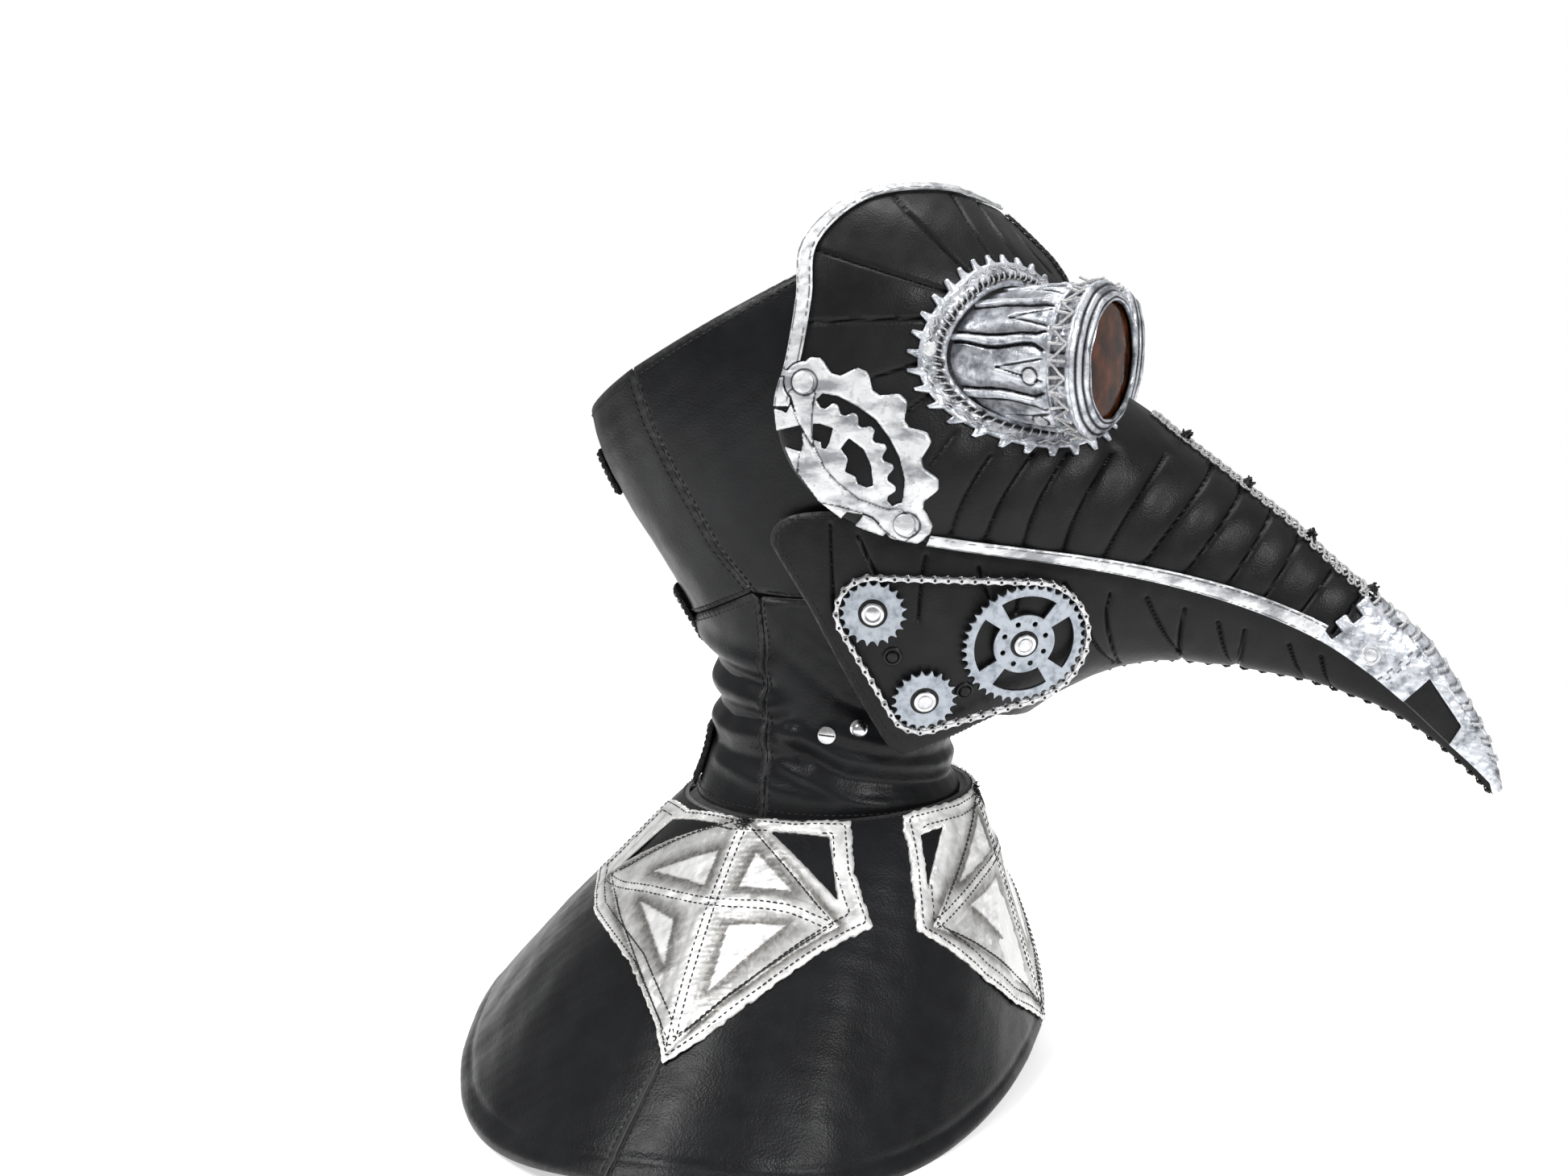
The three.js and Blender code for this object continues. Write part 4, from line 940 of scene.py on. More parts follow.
# The ridge: silver cord crossed over the beak, and black thread over the forehead.
silver_lace, black_lace = Shape(), Shape()
for sign in (1, -1):
    u = np.linspace(LACE_START, LACE_END, 300)
    sway = crossing(u, LACE_PITCH, sign)
    lift = 0.5 + 0.6 * (1 - sway) + (0.35 if sign > 0 else 0)
    tube(above(mask_at, u, (0.6 + 5.2 * sway) / ridge_reach(u), lift), 0.42, shape=silver_lace)
for u in np.arange(LACE_START + 0.0045, LACE_END, LACE_PITCH):
    place = on_surface(mask_at, u, 6.2 / ridge_reach(u))
    tube(place.at(*circle(1.25, 14).T, 0.75), 0.42, closed=True, shape=silver_lace)
make("ridge_silver_lacing", silver_lace, SILVER_CORD, "mask")
rng = np.random.default_rng(4)
for u in (0.513, 0.618, 0.709, 0.789):
    place = on_surface(mask_at, u, 0.05)
    for _ in range(9):
        a = rng.uniform(-2.6, 2.6, 3)
        b = rng.uniform(-2.4, 2.4, 3)
        tube(place.at(a, b, [0.6, 2.8 + rng.uniform(-0.6, 1.2), 1.2]), 0.38, 5, shape=black_lace)
for sign in (1, -1):
    u = np.linspace(0.02, 0.3, 200)
    sway = crossing(u, 0.026, sign)
    tube(above(mask_at, u, (0.4 + 3.2 * sway) / ridge_reach(u), 1 - 0.5 * sway), 0.45, shape=black_lace)
make("ridge_black_lacing", black_lace, THREAD, "mask")

# ---- The goggles --------------------------------------------------------------------------------------
SPIKES = 32
RING_INNER, RING_OUTER, SPIKE_TIP = 24.4, 32.4, 35.2


def goggle_drape(radius, angle):
    """The mask's (u, v) behind points round the goggle's axis, and how far each one misses."""
    return drape(mask_at, GOGGLE, radius * np.cos(angle), radius * np.sin(angle), (0.25, 0.45))


R, A = np.meshgrid(np.linspace(23.6, 35.6, 28), np.arange(640) * 2 * np.pi / 640)
U, V, ring_miss = goggle_drape(R, A)


def ring_outside(p, u, v):
    r, a, _ = goggle_polar(p)
    pitch = 2 * np.pi / SPIKES
    lean = 0.01 * (r - 31.6)
    off = np.abs(np.mod(a + lean + pitch / 2, pitch) - pitch / 2) * r
    spike = np.maximum(off - (1.45 - 0.28 * (r - RING_OUTER)), r - SPIKE_TIP)
    return np.maximum.reduce([np.minimum(r - RING_OUTER, spike), RING_INNER - r, ring_miss - 0.3])


def ring_texture(p, u, v):
    r, a, _ = goggle_polar(p)
    lump = 0.35 * waves(p, 3.5, 21) + 0.3 * waves(p, 7, 22)
    # Painted shade in a band under the coiled wire at 27 mm, and random dark patches of paint inside 31 mm.
    dark = bell(r - 27, 1.1) + 0.5 * (waves(p, 4, 23) > 0.35) * (r < 31)
    return lump - 0.4 * bell(r - 30.2, 0.5), np.clip(1 - dark, 0.05, 1)


base_ring = skin(mask_at, U, V, 0.4, 1.9, ring_outside, ring_texture, wrap=True)
make("goggle_ring", base_ring, AGED, "mask", ["goggle_base_ring"])

wire = Shape()
turn = np.linspace(0, 2 * np.pi, 1500, endpoint=False)
for radius, coil, turns, thick in ((27.6, 1.15, 70, 0.34), (30.6, 0.5, 44, 0.3)):
    u, v, _ = goggle_drape(radius + coil * np.cos(turn * turns), turn)
    height = 2.0 + coil * 0.8 * np.sin(turn * turns)
    tube(above(mask_at, u, v, height), thick, 5, closed=True, shape=wire)
make("goggle_ring_wire", wire, SILVER_CORD, "mask")

BARREL_START, BARREL_END, BARREL_RADIUS = -29.5, 37, 25.5
STRAPS = np.radians([165, 214, 258, 300, 342, 24, 60, 95, 127])
DARTS = np.radians([188, 146, 111, 236, 279, 321, 3, 42, 78])
BARREL_RIVETS = [(math.radians(a), z) for a, z in ((193, 22), (236, 22.5), (300, 20), (3, 21), (78, 21))]


def around(a, b):
    return np.mod(a - b + np.pi, 2 * np.pi) - np.pi


def barrel_radius(z):
    """The tube widens gently from the face to its mouth, and flares at the end."""
    t = np.clip((z + 4) / 32, 0, 1)
    flare = 1.6 * np.clip((z / BARREL_END - 0.85) / 0.15, 0, 1)
    return BARREL_RADIUS - 2.8 * (1 - t * t * (3 - 2 * t)) + flare


turns = np.arange(480) * 2 * np.pi / 480
Z, A = np.meshgrid(np.linspace(BARREL_START, BARREL_END, 150), turns, indexing="ij")
rise, relief = 0.14 * waves(np.stack([A * 26, Z, 0 * Z], -1), 4, 31), np.full(Z.shape, 0.42)
body = np.clip((27.5 - Z) / 1.5, 0, 1)
nearest = np.full(Z.shape, 9.0)
for k, strap in enumerate(STRAPS):
    middle = strap + 0.022 * np.sin(Z * 2 * np.pi / 26 + 2 * k)
    off = np.abs(around(A, middle)) * BARREL_RADIUS
    nearest = np.minimum(nearest, off)
    half = 1.45 + 0.25 * np.sin(Z * 0.22 + k) + 1.2 * np.clip((Z - 23) / 3, 0, 1)
    on = below(off - half, 0.18)
    rise += 1.15 * on * body
    relief += 0.6 * on
    gap = bell(off - half - 0.75, 0.5) * body
    rise -= 0.75 * gap
    relief -= 0.95 * gap
for k, dart in enumerate(DARTS):
    spread = np.clip((Z - 8 - 3 * (k % 3)) / 18, 0, 1) * 0.15
    for sign in (1, -1):
        off = np.abs(around(A, dart + sign * spread)) * BARREL_RADIUS
        relief += 0.45 * bell(off - 1.1, 0.6) * (spread > 0) * body
        line = bell(off, 0.5) * (spread > 0) * body
        rise -= 0.6 * line
        relief -= 0.8 * line
bulge = np.clip((nearest - 2.4) / 4, 0, 1)
rise += 1.1 * bulge * body * np.clip((Z + 4) / 12, 0, 1)
relief += 0.3 * bulge + 0.5 * (1 - body)
for level, width in ((28.6, 0.8), (36.0, 1.0), (32.3, 0.5)):
    rise += 0.75 * bell(Z - level, width)
# Painted shade: a dark ring on the barrel round each rivet's head.
for a, z in BARREL_RIVETS:
    off = np.hypot(around(A, a) * BARREL_RADIUS, Z - z)
    relief -= 0.9 * bell(off - 3.0, 0.4)
ladder = (np.abs(around(A * 15, 0)) < 1.9) & (Z > 29.4) & (Z < 35.2)
rise -= 0.8 * ladder
relief -= 0.9 * ladder
outer = GOGGLE.round(barrel_radius(Z) + rise, A, Z)
bore_z, bore_a = np.meshgrid(np.linspace(BARREL_END, BARREL_START, 30), turns, indexing="ij")
inner = GOGGLE.round(barrel_radius(bore_z) - 2.2, bore_a, bore_z)
barrel = Shape().add(
    np.vstack([outer, inner]),
    [grid_faces(len(outer) + len(inner), len(turns), wrap_rows=True, wrap_cols=True)[:, ::-1]],
    np.concatenate([np.clip(relief, 0.03, 1).ravel(), np.full(bore_z.size, 0.1)]),
)
make("goggle_tube", barrel, AGED, "mask", ["goggle_barrel"])

ZIGZAGS = 30
cord = Shape()
for k in range(ZIGZAGS):
    a = np.array([k, k + 0.35, k + 0.75, k + 1.0]) * 2 * np.pi / ZIGZAGS
    z = np.array([29, 31.2, 33.6, 35.8])[:: 1 if k % 2 else -1]
    r = BARREL_RADIUS + 1.2 + np.clip((z - 31.4) / 5.5, 0, 1) * 2
    tube(GOGGLE.round(r, a, z), 0.5, shape=cord)
    tube(GOGGLE.round(r + 0.3, a[0], np.sort(z)), 0.55, shape=cord)
make("goggle_lacing", cord, SILVER_CORD, "mask")


def cap(place, radius, height, lift, shape):
    """A rivet's flat head with a rounded rim."""
    profile = ((0, 0), (1, 0), (1, 0.55), (0.9, 0.92), (0.6, 1), (0, 1.05))
    return lathe([(radius * r, lift + height * z) for r, z in profile], place, 28, shape)


studs = Shape()
for a, z in BARREL_RIVETS:
    cap(Frame(GOGGLE.round(25.4, a, z), GOGGLE.x * math.cos(a) + GOGGLE.y * math.sin(a)), 2.5, 1.5, 0, studs)
u, v, _ = drape(mask_at, GOGGLE, np.array([-29.8, 12, 20]), np.array([2, -27, 22]), (0.25, 0.45))
for place in (on_surface(mask_at, *at) for at in zip(u, v)):
    cap(place, 2.6, 1.0, 1.6, studs)
make("goggle_rivets", studs, PAINTED, "mask")

LIP = [  # radius, height, relief
    (27.4, 36.8, 0.8), (27.7, 37.4, 0.9), (27.1, 38.2, 0.9), (26.1, 38.6, 0.1), (25.9, 38.9, 0.1),
    (25.7, 39.7, 0.9), (24.9, 40.3, 0.9), (24.1, 40.5, 0.15), (23.9, 40.8, 0.1), (23.7, 41.6, 0.9),
    (23.1, 42.2, 0.95), (22.5, 42.3, 0.9), (22.1, 42, 0.15), (21.8, 42.1, 0.15), (21.3, 42.6, 0.9),
    (20.8, 42.3, 0.7), (20.5, 41.3, 0.1), (24.6, 39.6, 0), (24.8, 36.8, 0),
]
lip = lathe(
    [row[:2] for row in LIP], GOGGLE, 120,
    twist=lambda r, z, a: (
        r + 0.28 * np.sin(a * 34 + z) * (r > 27.4) + 0.1 * np.sin(a * 13),
        z + 0.18 * np.sin(a * 9 + r) * (z > 41.5),
    ),
    relief=[row[2] for row in LIP],
)
make("goggle_lip", lip, AGED, "mask", ["goggle_rim"])
PANE = [
    (0, 38), (20, 38), (23.4, 38), (23.6, 38.3), (23.4, 39.2), (22, 40), (18, 40.5), (12, 40.9), (6, 41.1),
    (0, 41.2),
]
make("goggle_glass", lathe(PANE, GOGGLE, 96), GLASS, "mask", ["goggle_lens"])

# ---- The half gear on the cheek -----------------------------------------------------------------------
RIM_WINDOW = [
    (-31.1, 27.5), (-39.1, 26.1), (-45.9, 22.3), (-51.9, 17.8), (-56.7, 11.2), (-60.3, 4.2), (-62.2, -3.5),
    (-61.6, -9.7), (-60.3, -14.1), (-56.3, -14), (-46, -10.4), (-38.7, -4.6), (-34.2, 0.3), (-30.1, 8.6),
    (-29.6, 16.8), (-30.2, 23.4),
]
GEAR_HOLES = [
    [
        (-30.2, 16.2), (-32.4, 16.4), (-37.3, 14.8), (-35.9, 9.6), (-34.6, 7.3), (-33.2, 7.7), (-32.9, 9.8),
        (-30.3, 10.6),
    ],
    [
        (-42.7, 11.3), (-47.9, 7.2), (-50.5, 1.5), (-51.3, -5.6), (-48.8, -6.3), (-45.8, -4.9),
        (-45.1, -2.5), (-41.4, -0.7), (-42.4, 3.9), (-39.9, 7.5),
    ],
]
BEHIND = [(-27.5, 33), (-31, 25), (-29, 8), (-38, -6), (-62, -15), (-62, -60), (0, -60), (0, 33)]
LEVER = [
    (-22, 27.5), (-25.7, 15.8), (-28.2, 11.5), (-30.3, 8.3), (-29.6, 15.7), (-30.2, 23.4), (-31.1, 27.2),
    (-27.5, 30.9),
]
LEAF = [
    (-26.2, 13.7), (-30.9, 7.7), (-34.2, 0.3), (-38.7, -4.6), (-46, -10.4), (-56.3, -14), (-60.9, -14.1),
    (-65.4, -22), (-61.1, -25.9), (-56.4, -23.1), (-50.7, -16.8), (-45.9, -14.6), (-39.2, -12.7),
    (-31.9, -11.5), (-24.6, -1.4), (-25.1, 2.4), (-26.6, 9.5),
]
SCRAPS = [
    [(-16.5, 21.4), (-19.1, 20.9), (-20.9, 19.9), (-22.6, 23.4), (-25.7, 15.8), (-17.2, 13.7)],
    [(-20, 8), (-25.2, 6.4), (-26.1, 10.9), (-25, 2), (-23.9, -1.2)],
    [(-31.6, -11.2), (-38.7, -12.5), (-45.9, -14.6), (-47.8, -16), (-41.7, -15.1), (-39.6, -17.5)],
    [(-47.5, -16.1), (-50.5, -17.2), (-55.4, -22.3), (-54, -24), (-49.8, -22.5), (-44.4, -20.2),
    (-46.4, -17.9)],
]


def gear_edge(y, z, teeth, root, tip, phase):
    """How far outside a gear's outline a side-view point is."""
    a, b = -(y - CHEEK[0]), z - CHEEK[1]
    tooth = np.clip(0.5 + 1.2 * np.cos(teeth * (np.arctan2(b, a) - phase)) * 0.5, 0, 1)
    return np.hypot(a, b) - (root + (tip - root) * tooth)


def cheek_parts(p):
    y, z = p[..., 1], p[..., 2]
    window, lever, leaf = (outline_sd(y, z, loop) for loop in (RIM_WINDOW, LEVER, LEAF))
    rim = np.maximum.reduce([gear_edge(y, z, 17, 41, 45.7, 0.02), -window, -outline_sd(y, z, BEHIND)])
    inner = np.maximum(gear_edge(y, z, 25, 28.4, 31, -0.02), window)
    inner = np.maximum.reduce([inner] + [-outline_sd(y, z, hole) for hole in GEAR_HOLES])
    bosses = np.minimum(-round_side_view(p, CHEEK_RIVET, 7.2), -round_side_view(p, JAW_PIVOT, 8))
    scraps = np.minimum.reduce([outline_sd(y, z, scrap) for scrap in SCRAPS])
    return rim, inner, bosses, lever, leaf, scraps


grid = np.meshgrid(np.arange(-77, -9, 0.42), np.arange(-54, 43, 0.42), indexing="ij")
U, V, cheek_miss = side_drape(mask_at, np.stack(grid, -1), (0.15, 0.75))


def cheek_outside(p, u, v):
    clear = [SPIKE_TIP + 0.2 - goggle_polar(p)[0], *rivet_holes(p)]
    return np.maximum.reduce([np.minimum.reduce(cheek_parts(p)), *clear, cheek_miss - 0.2])


def cheek_texture(p, u, v):
    rim, inner, bosses, lever, leaf, scraps = cheek_parts(p)
    rise = 0.22 * waves(p, 6, 41) + 0.75 * (lever < 0) + 0.5 * (leaf < 0) + 0.3 * (rim < 0)
    line = sum(bell(part + 0.3, 0.32) for part in (lever, leaf))
    # Painted shade on the rim just outside the raised lever and leaf, and in a ring round each stud.
    painted_shade = sum(bell(part, 0.55) * (part > 0) for part in (lever, leaf))
    rivets = (-round_side_view(p, centre, 4.5) for centre in (CHEEK_RIVET, JAW_PIVOT))
    painted_shade = painted_shade + sum(bell(off, 0.4) for off in rivets)
    return rise - 0.15 * line, np.clip(1 - 0.95 * painted_shade - 0.3 * (waves(p, 5, 42) > 0.6), 0, 1)


gear = skin(mask_at, U, V, 0.4, 1.5, cheek_outside, cheek_texture)
make("cheek_half_gear", gear, PAINTED, "mask", ["cheek_gear"])

BROW_END = 22.5  # height where the brow strip stops, beside the gear


def clear_of_cheek(p, u, w):
    beyond = np.minimum(round_side_view(p, CHEEK, 46.1), BROW_END - p[..., 2])
    return np.maximum(0.4 - np.minimum.reduce(cheek_parts(p)), beyond)


strips = Shape()
for first, last in ((0, 8 / 24), (9 / 24, 18.4 / 24)):
    U, V = net((first, last, int((last - first) * 800)), (0, 1, 13))
    skin(edge_strip_at, U, V, 0.9, 2.0, clear_of_cheek, strip_texture, shape=strips)
make("edge_strip", strips, PAINTED, "mask", ["brow_strip", "beak_strip"])

for name, (y, z), x, depth, node in (
    ("cheek_stud", CHEEK_RIVET, -82.6, 8.1, "cheek_rivet"),
    ("jaw_pivot_stud", JAW_PIVOT, -73.4, 15, "jaw_pivot_rivet"),
):
    foot = [(0, -depth), (3.6, -depth), (3.6, 0.9 - depth), (2.2, 0.9 - depth), (2.2, 0)]
    head = [(3.6, 0), (3.8, 0.4), (3.75, 0.8), (3.4, 1.05), (2, 1.2), (0, 1.25)]
    make(name, lathe(foot + head, Frame((x, y, z)), 36), PAINTED, "mask", [node])

# ---- The chain drive on the jaw -----------------------------------------------------------------------
TOOTH_PITCH = 3.65
SMALL_TEETH, RING_TEETH = 20, 40
WHEEL_BACK, WHEEL_FACE = 1.6, 3.0
LINK_PITCH = 4.95
TOOTH = [  # along the pitch and up, for a tooth that leans one way with a round seat beside it
    (0.0, -1.05), (0.13, -0.95), (0.25, -0.45), (0.4, 0.6), (0.46, 0.95), (0.54, 0.75), (0.66, -0.3),
    (0.8, -0.9),
]
HUB = [
    (0, -4.8), (4.2, -4.8), (4.2, -3.9), (2.2, -3.9), (2.2, 0.6), (4.2, 0.6), (4.2, 1.4), (2.2, 1.4),
    (2.2, 3.25), (4.2, 3.25), (4.3, 3.6), (4.1, 4.1), (3.5, 4.35), (2.9, 4.2), (2.7, 3.8), (2.45, 3.75),
    (2.3, 4.15), (1.2, 4.4), (0, 4.45),
]
WHEELS = (  # name, place, teeth, first and last angle of the chain round it
    ("upper_sprocket", UPPER, SMALL_TEETH, 78, 205), ("lower_sprocket", LOWER, SMALL_TEETH, 205, 298),
    ("chainring", RING, RING_TEETH, 286, 438),
)


def pitch_radius(teeth):
    return TOOTH_PITCH / (2 * math.sin(math.pi / teeth))


def polar(radius, angle):
    return np.stack([radius * np.cos(angle), radius * np.sin(angle)], -1)


def wheel_outline(teeth):
    along, rise = np.array(TOOTH).T
    angle = 2 * np.pi * (np.arange(teeth)[:, None] + along) / teeth
    return polar(pitch_radius(teeth) + rise, angle).reshape(-1, 2)


def window(inner, outer, middle, half):
    a = np.radians(np.linspace(middle - half, middle + half, 14))
    return np.vstack([polar(outer, a), polar(inner, a[::-1])])


route = []
for name, place, teeth, first, last in WHEELS:
    holes = [circle(2.4, 24)]
    if teeth == RING_TEETH:
        holes += [window(11.9, 19.3, k * 90, 33) for k in range(4)]
        holes += [circle(0.95, 14, polar(8.6, a)) for a in np.radians(np.arange(8) * 45 + 22.5)]
    wheel = plate(wheel_outline(teeth), holes, place, WHEEL_BACK, WHEEL_FACE, 0.28)
    make(f"{name}_wheel", wheel, WHEEL, name, [name])
    make(f"{name}_hub", lathe(HUB, place, 36), STEEL, "jaw", [f"{name}_axle"])
    seat = lathe([(3.9, 3.06), (5.3, 3.06), (5.4, 3.12), (5.2, 3.22), (4.4, 3.22), (3.9, 3.18)], place, 40)
    make(f"{name}_seat", seat, BLACK_METAL, "jaw")
    route.append(place.round(pitch_radius(teeth) + 1.75, np.radians(np.linspace(first, last, 40)), 2.3))

route = np.vstack(route + [route[0][:1]])
run = run_along(route)
count = 2 * round(run[-1] / LINK_PITCH / 2)
pins = at_run(route, np.linspace(0, run[-1], count, endpoint=False))
eye = polar(1.15, np.linspace(-2.2, 2.2, 11)) + [LINK_PITCH / 2, 0]
LINK = np.vstack([eye, [(0, 0.62)], -eye, [(0, -0.62)]])
chain, ends = Shape(), Shape()
for k, pin in enumerate(pins):
    after = pins[(k + 1) % count]
    out = unit(sum(f.z / (((f.o - pin) ** 2).sum() + 1) for f in (UPPER, LOWER, RING)))
    ahead = unit(after - pin)
    side = unit(np.cross(out, ahead))
    up = np.cross(ahead, side)
    middle = (pin + after) / 2
    for low in (1.14, -1.44) if k % 2 else (0.8, -1.1):
        levels = ((LINK, 0), (LINK, 0.22), (LINK * 0.94, 0.3), (np.zeros((1, 2)), 0), (np.zeros((1, 2)), 0.3))
        points = [middle + ring @ np.stack([ahead, side]) + (low + level) * up for ring, level in levels]
        ring, size = np.arange(len(LINK)), len(LINK)
        walls = grid_faces(3, size, wrap_cols=True)[:, ::-1]
        chain.add(np.vstack(points), [walls, fan(3 * size, ring, -1), fan(3 * size + 1, ring + 2 * size)])
    lathe([(0, -1.4), (0.6, -1.4), (0.6, 1.5), (0.45, 1.6), (0, 1.62)], Frame(pin, up), 10, ends)
make("chain_links", chain, CHAIN, "jaw", ["drive_chain"])
make("chain_pins", ends, BLACK_METAL, "jaw")

caps = Shape()
for u, v in ((0.118, 0.328), (0.203, 0.498)):
    dome(on_surface(jaw_at, u, v), 3.7, 1.5, -0.1, caps, 0.25)
make("jaw_snap_caps", caps, BLACK_METAL, "jaw")

jaw_thread = Shape()
line = dense([(-40, -18), (-16, -19), (-15.5, -29), (-29, -52), (-52.5, -98), (-61, -107)], 2.0)
u, v, miss = side_drape(jaw_at, line, (0.12, 0.3))
stitches(jaw_thread, jaw_at, np.stack([u, v], -1)[miss < 0.3], 0.0, 2.8, 1.9, 0.24)
make("jaw_thread", jaw_thread, THREAD, "jaw")

# ---- The hood and neck --------------------------------------------------------------------------------
SOFT_LEATHER = 1.8
SIDE_SEAM = [(44.5, 34.5), (37, 13), (28, -5), (13.5, -32), (0, -50)]
FOOT = -139.7
HOOD_FOLDS = [  # half width, rise, line in the side view
    (6, 0.9, (-22, 66), (-31, 20), (-24, -20), (-14, -49)), (9, -0.8, (-4, 58), (-14, 15), (-8, -25),
    (2, -46)), (8, 0.7, (20, 40), (8, 5), (-2, -30)), (8, 1.1, (60, 10), (46, -18), (22, -52)),
    (5, -1.3, (72, -8), (58, -30), (34, -60)), (4.5, 2.0, (50, -68), (14, -77), (-3, -80)),
    (3.5, -2.2, (50, -77), (16, -85), (-3, -87)), (4.5, 2.0, (48, -86), (18, -93), (-8, -95)),
    (3.5, -2.0, (48, -95), (16, -101), (-12, -101)), (4.5, 1.8, (48, -104), (14, -109), (-14, -108)),
    (4, -1.3, (48, -113), (12, -117), (-20, -116)), (4, 1.0, (-6, -56), (-30, -74), (-52, -84)),
    (4, -1.0, (-6, -68), (-28, -86), (-48, -96)), (3.2, 1.5, (-4, -98), (-34, -114), (-68, -122)),
    (2.6, -1.4, (-8, -108), (-36, -122), (-70, -129)), (3, 1.3, (-30, -104), (-55, -112), (-80, -112)),
    (3, -1.1, (-34, -92), (-58, -104), (-84, -104)), (3, 0.9, (20, -122), (-10, -128), (-50, -134)),
    (2.2, 1.0, (-10, -118), (-40, -131), (-72, -136)),
]
HOOD_LINES = [(np.pad(dense(line, 4), ((0, 0), (1, 0))), width, rise) for width, rise, *line in HOOD_FOLDS]


def hood_texture(p, u, v):
    flat = p * [0, 1, 1]
    rise = 0.5 * waves(p, 42, 51) + 0.16 * waves(p, 11, 52)
    for line, width, height in HOOD_LINES:
        rise = rise + height * bell(near(flat, line, width * 3), width)
    return rise, np.ones(len(p))


def panel(name, outline, node, shares, downs, pair=True):
    cols, rows = int((shares[1] - shares[0]) * 400), int((downs[1] - downs[0]) * 210)
    piece = skin(
        hood_at, *net((*shares, cols), (*downs, rows)), -SOFT_LEATHER, 0,
        lambda p, u, v: outline_sd(p[..., 1], p[..., 2], outline), hood_texture, edge=(0.25, 0.8),
    )
    make(name, piece, SOFT, "mask", [node], pair=pair)


shifted_seam = [(y + 0.4, z) for y, z in SIDE_SEAM]
panel("hood_side", [(-36, 76.6), *SIDE_SEAM, (-36, -51.5)], "hood_side_panel", (0.05, 0.5), (0, 0.62))
panel(
    "hood_back", [*shifted_seam, (35, -66), (90, -66), (110, -2), (84, 13), (66, 22.5)], "hood_back_panel",
    (0.0012, 0.42), (0.15, 0.7),
)
panel(
    "neck_back", [(-3.1, -53), (0.2, -50.7), (35, -66.5), (90, -66.5), (90, FOOT), (-3.1, FOOT)],
    "neck_back_panel", (0.0012, 0.42), (0.56, 1),
)
panel(
    "neck_front", [(-3.5, -51.9), (-34, -51.9), (-58, -80), (-95, -92), (-95, FOOT), (-3.5, FOOT)],
    "neck_front_panel", (0.1, 0.9), (0.56, 1), pair=False,
)


def hood_stitch(shape, points, guess):
    u, v, miss = side_drape(hood_at, dense(points, 2.0), guess, (0.002, 0.5, 0, 1))
    u, v = u[miss < 0.6], v[miss < 0.6]
    rise = hood_texture(hood_at(u, v), u, v)[0]
    arch = (-0.5, 0.12, 0.22, 0.12, -0.5)
    sew(shape, above(hood_at, u, v, rise), normals(hood_at, u, v), 2.9, 2.1, 0.27, arch)


SEWN = np.array([(42.8, 29.5)] + SIDE_SEAM[1:])
hood_thread = Shape()
for line, guess in (
    (SEWN + [-2.4, 0], (0.25, 0.4)), (SEWN + [2.6, 0.4], (0.22, 0.4)),
    ([(-33, 72), (41, 32)], (0.25, 0.1)), ([(48, 28.5), (66, 18.5), (77, 13)], (0.1, 0.3)),
    ([(-1, -48), (34, -63.4), (45, -63.4)], (0.2, 0.6)), ([(2, -54), (35, -69), (44, -69)], (0.2, 0.65)),
    ([(-1.2, -55), (-1.2, -136)], (0.25, 0.8)), ([(-5.4, -54), (-5.4, -136)], (0.25, 0.8)),
    ([(-8, -49), (-33, -49)], (0.3, 0.6)), ([(-6, -136.2), (-66, -136.2)], (0.3, 0.95)),
    ([(0, -136.2), (34, -136.2)], (0.2, 0.95)),
):
    hood_stitch(hood_thread, line, guess)
make("hood_thread", hood_thread, THREAD, "mask")


def down_of(z):
    return (HOOD_TOP - z) / (HOOD_TOP - HOOD_FOOT)


def at_hood(y, z):
    """A place on the folded neck, outwards from it."""
    u, v, _ = side_drape(hood_at, [(y, z)], (0.3, down_of(z)))
    rise = np.clip(hood_texture(hood_at(u, v), u, v)[0], -0.5, 1.5)
    return Frame(above(hood_at, u, v, rise)[0], normals(hood_at, u, v)[0])


BALL = [
    (0, 0.4), (3.3, 0.4), (3.4, 0.8), (2.6, 1.2), (1.7, 1.7), (1.9, 2.1), (2.7, 2.6), (3.0, 3.4),
    (2.7, 4.3), (1.7, 5.0), (0, 5.3),
]
ball = lathe(BALL, at_hood(-40, -102), 32)
make("neck_ball", ball, STEEL, "mask", ["neck_ball_stud"])
place = at_hood(-28.5, -104.5)
screw = lathe([(0, 0.3), (3.6, 0.3), (3.7, 0.9), (3.4, 1.5), (2.4, 1.85), (0, 1.95)], place, 36)
make("neck_screw", screw, STEEL, "mask", ["neck_screw_stud"])
slot = tube(place.at([-3.0, -1.5, 1.5, 3.0], [0.3, 0.15, -0.15, -0.3], [1.62, 1.86, 1.86, 1.62]), 0.36)
make("neck_screw_slot", slot, THREAD, "mask")

U, V = net((-0.026, 0.026, 24), (0.315, 0.995, 150))
placket = skin(hood_at, U, V, -3.4, -2.1, None, hood_texture, edge=(0.2, 0.6))
make("back_placket", placket, SOFT, "mask", pair=False)

TAB_HALF = 17
# The height of each tab's middle, its own height, and the hood's half width there.
TABS = {"top": (-8, 18, 64), "middle": (-65, 22, 48), "bottom": (-124, 26, 50.5)}


def fuzz(p, u, v):
    return 0.35 * waves(p, 1.6, 61) + 0.2 * waves(p, 0.9, 62), np.ones(len(p))


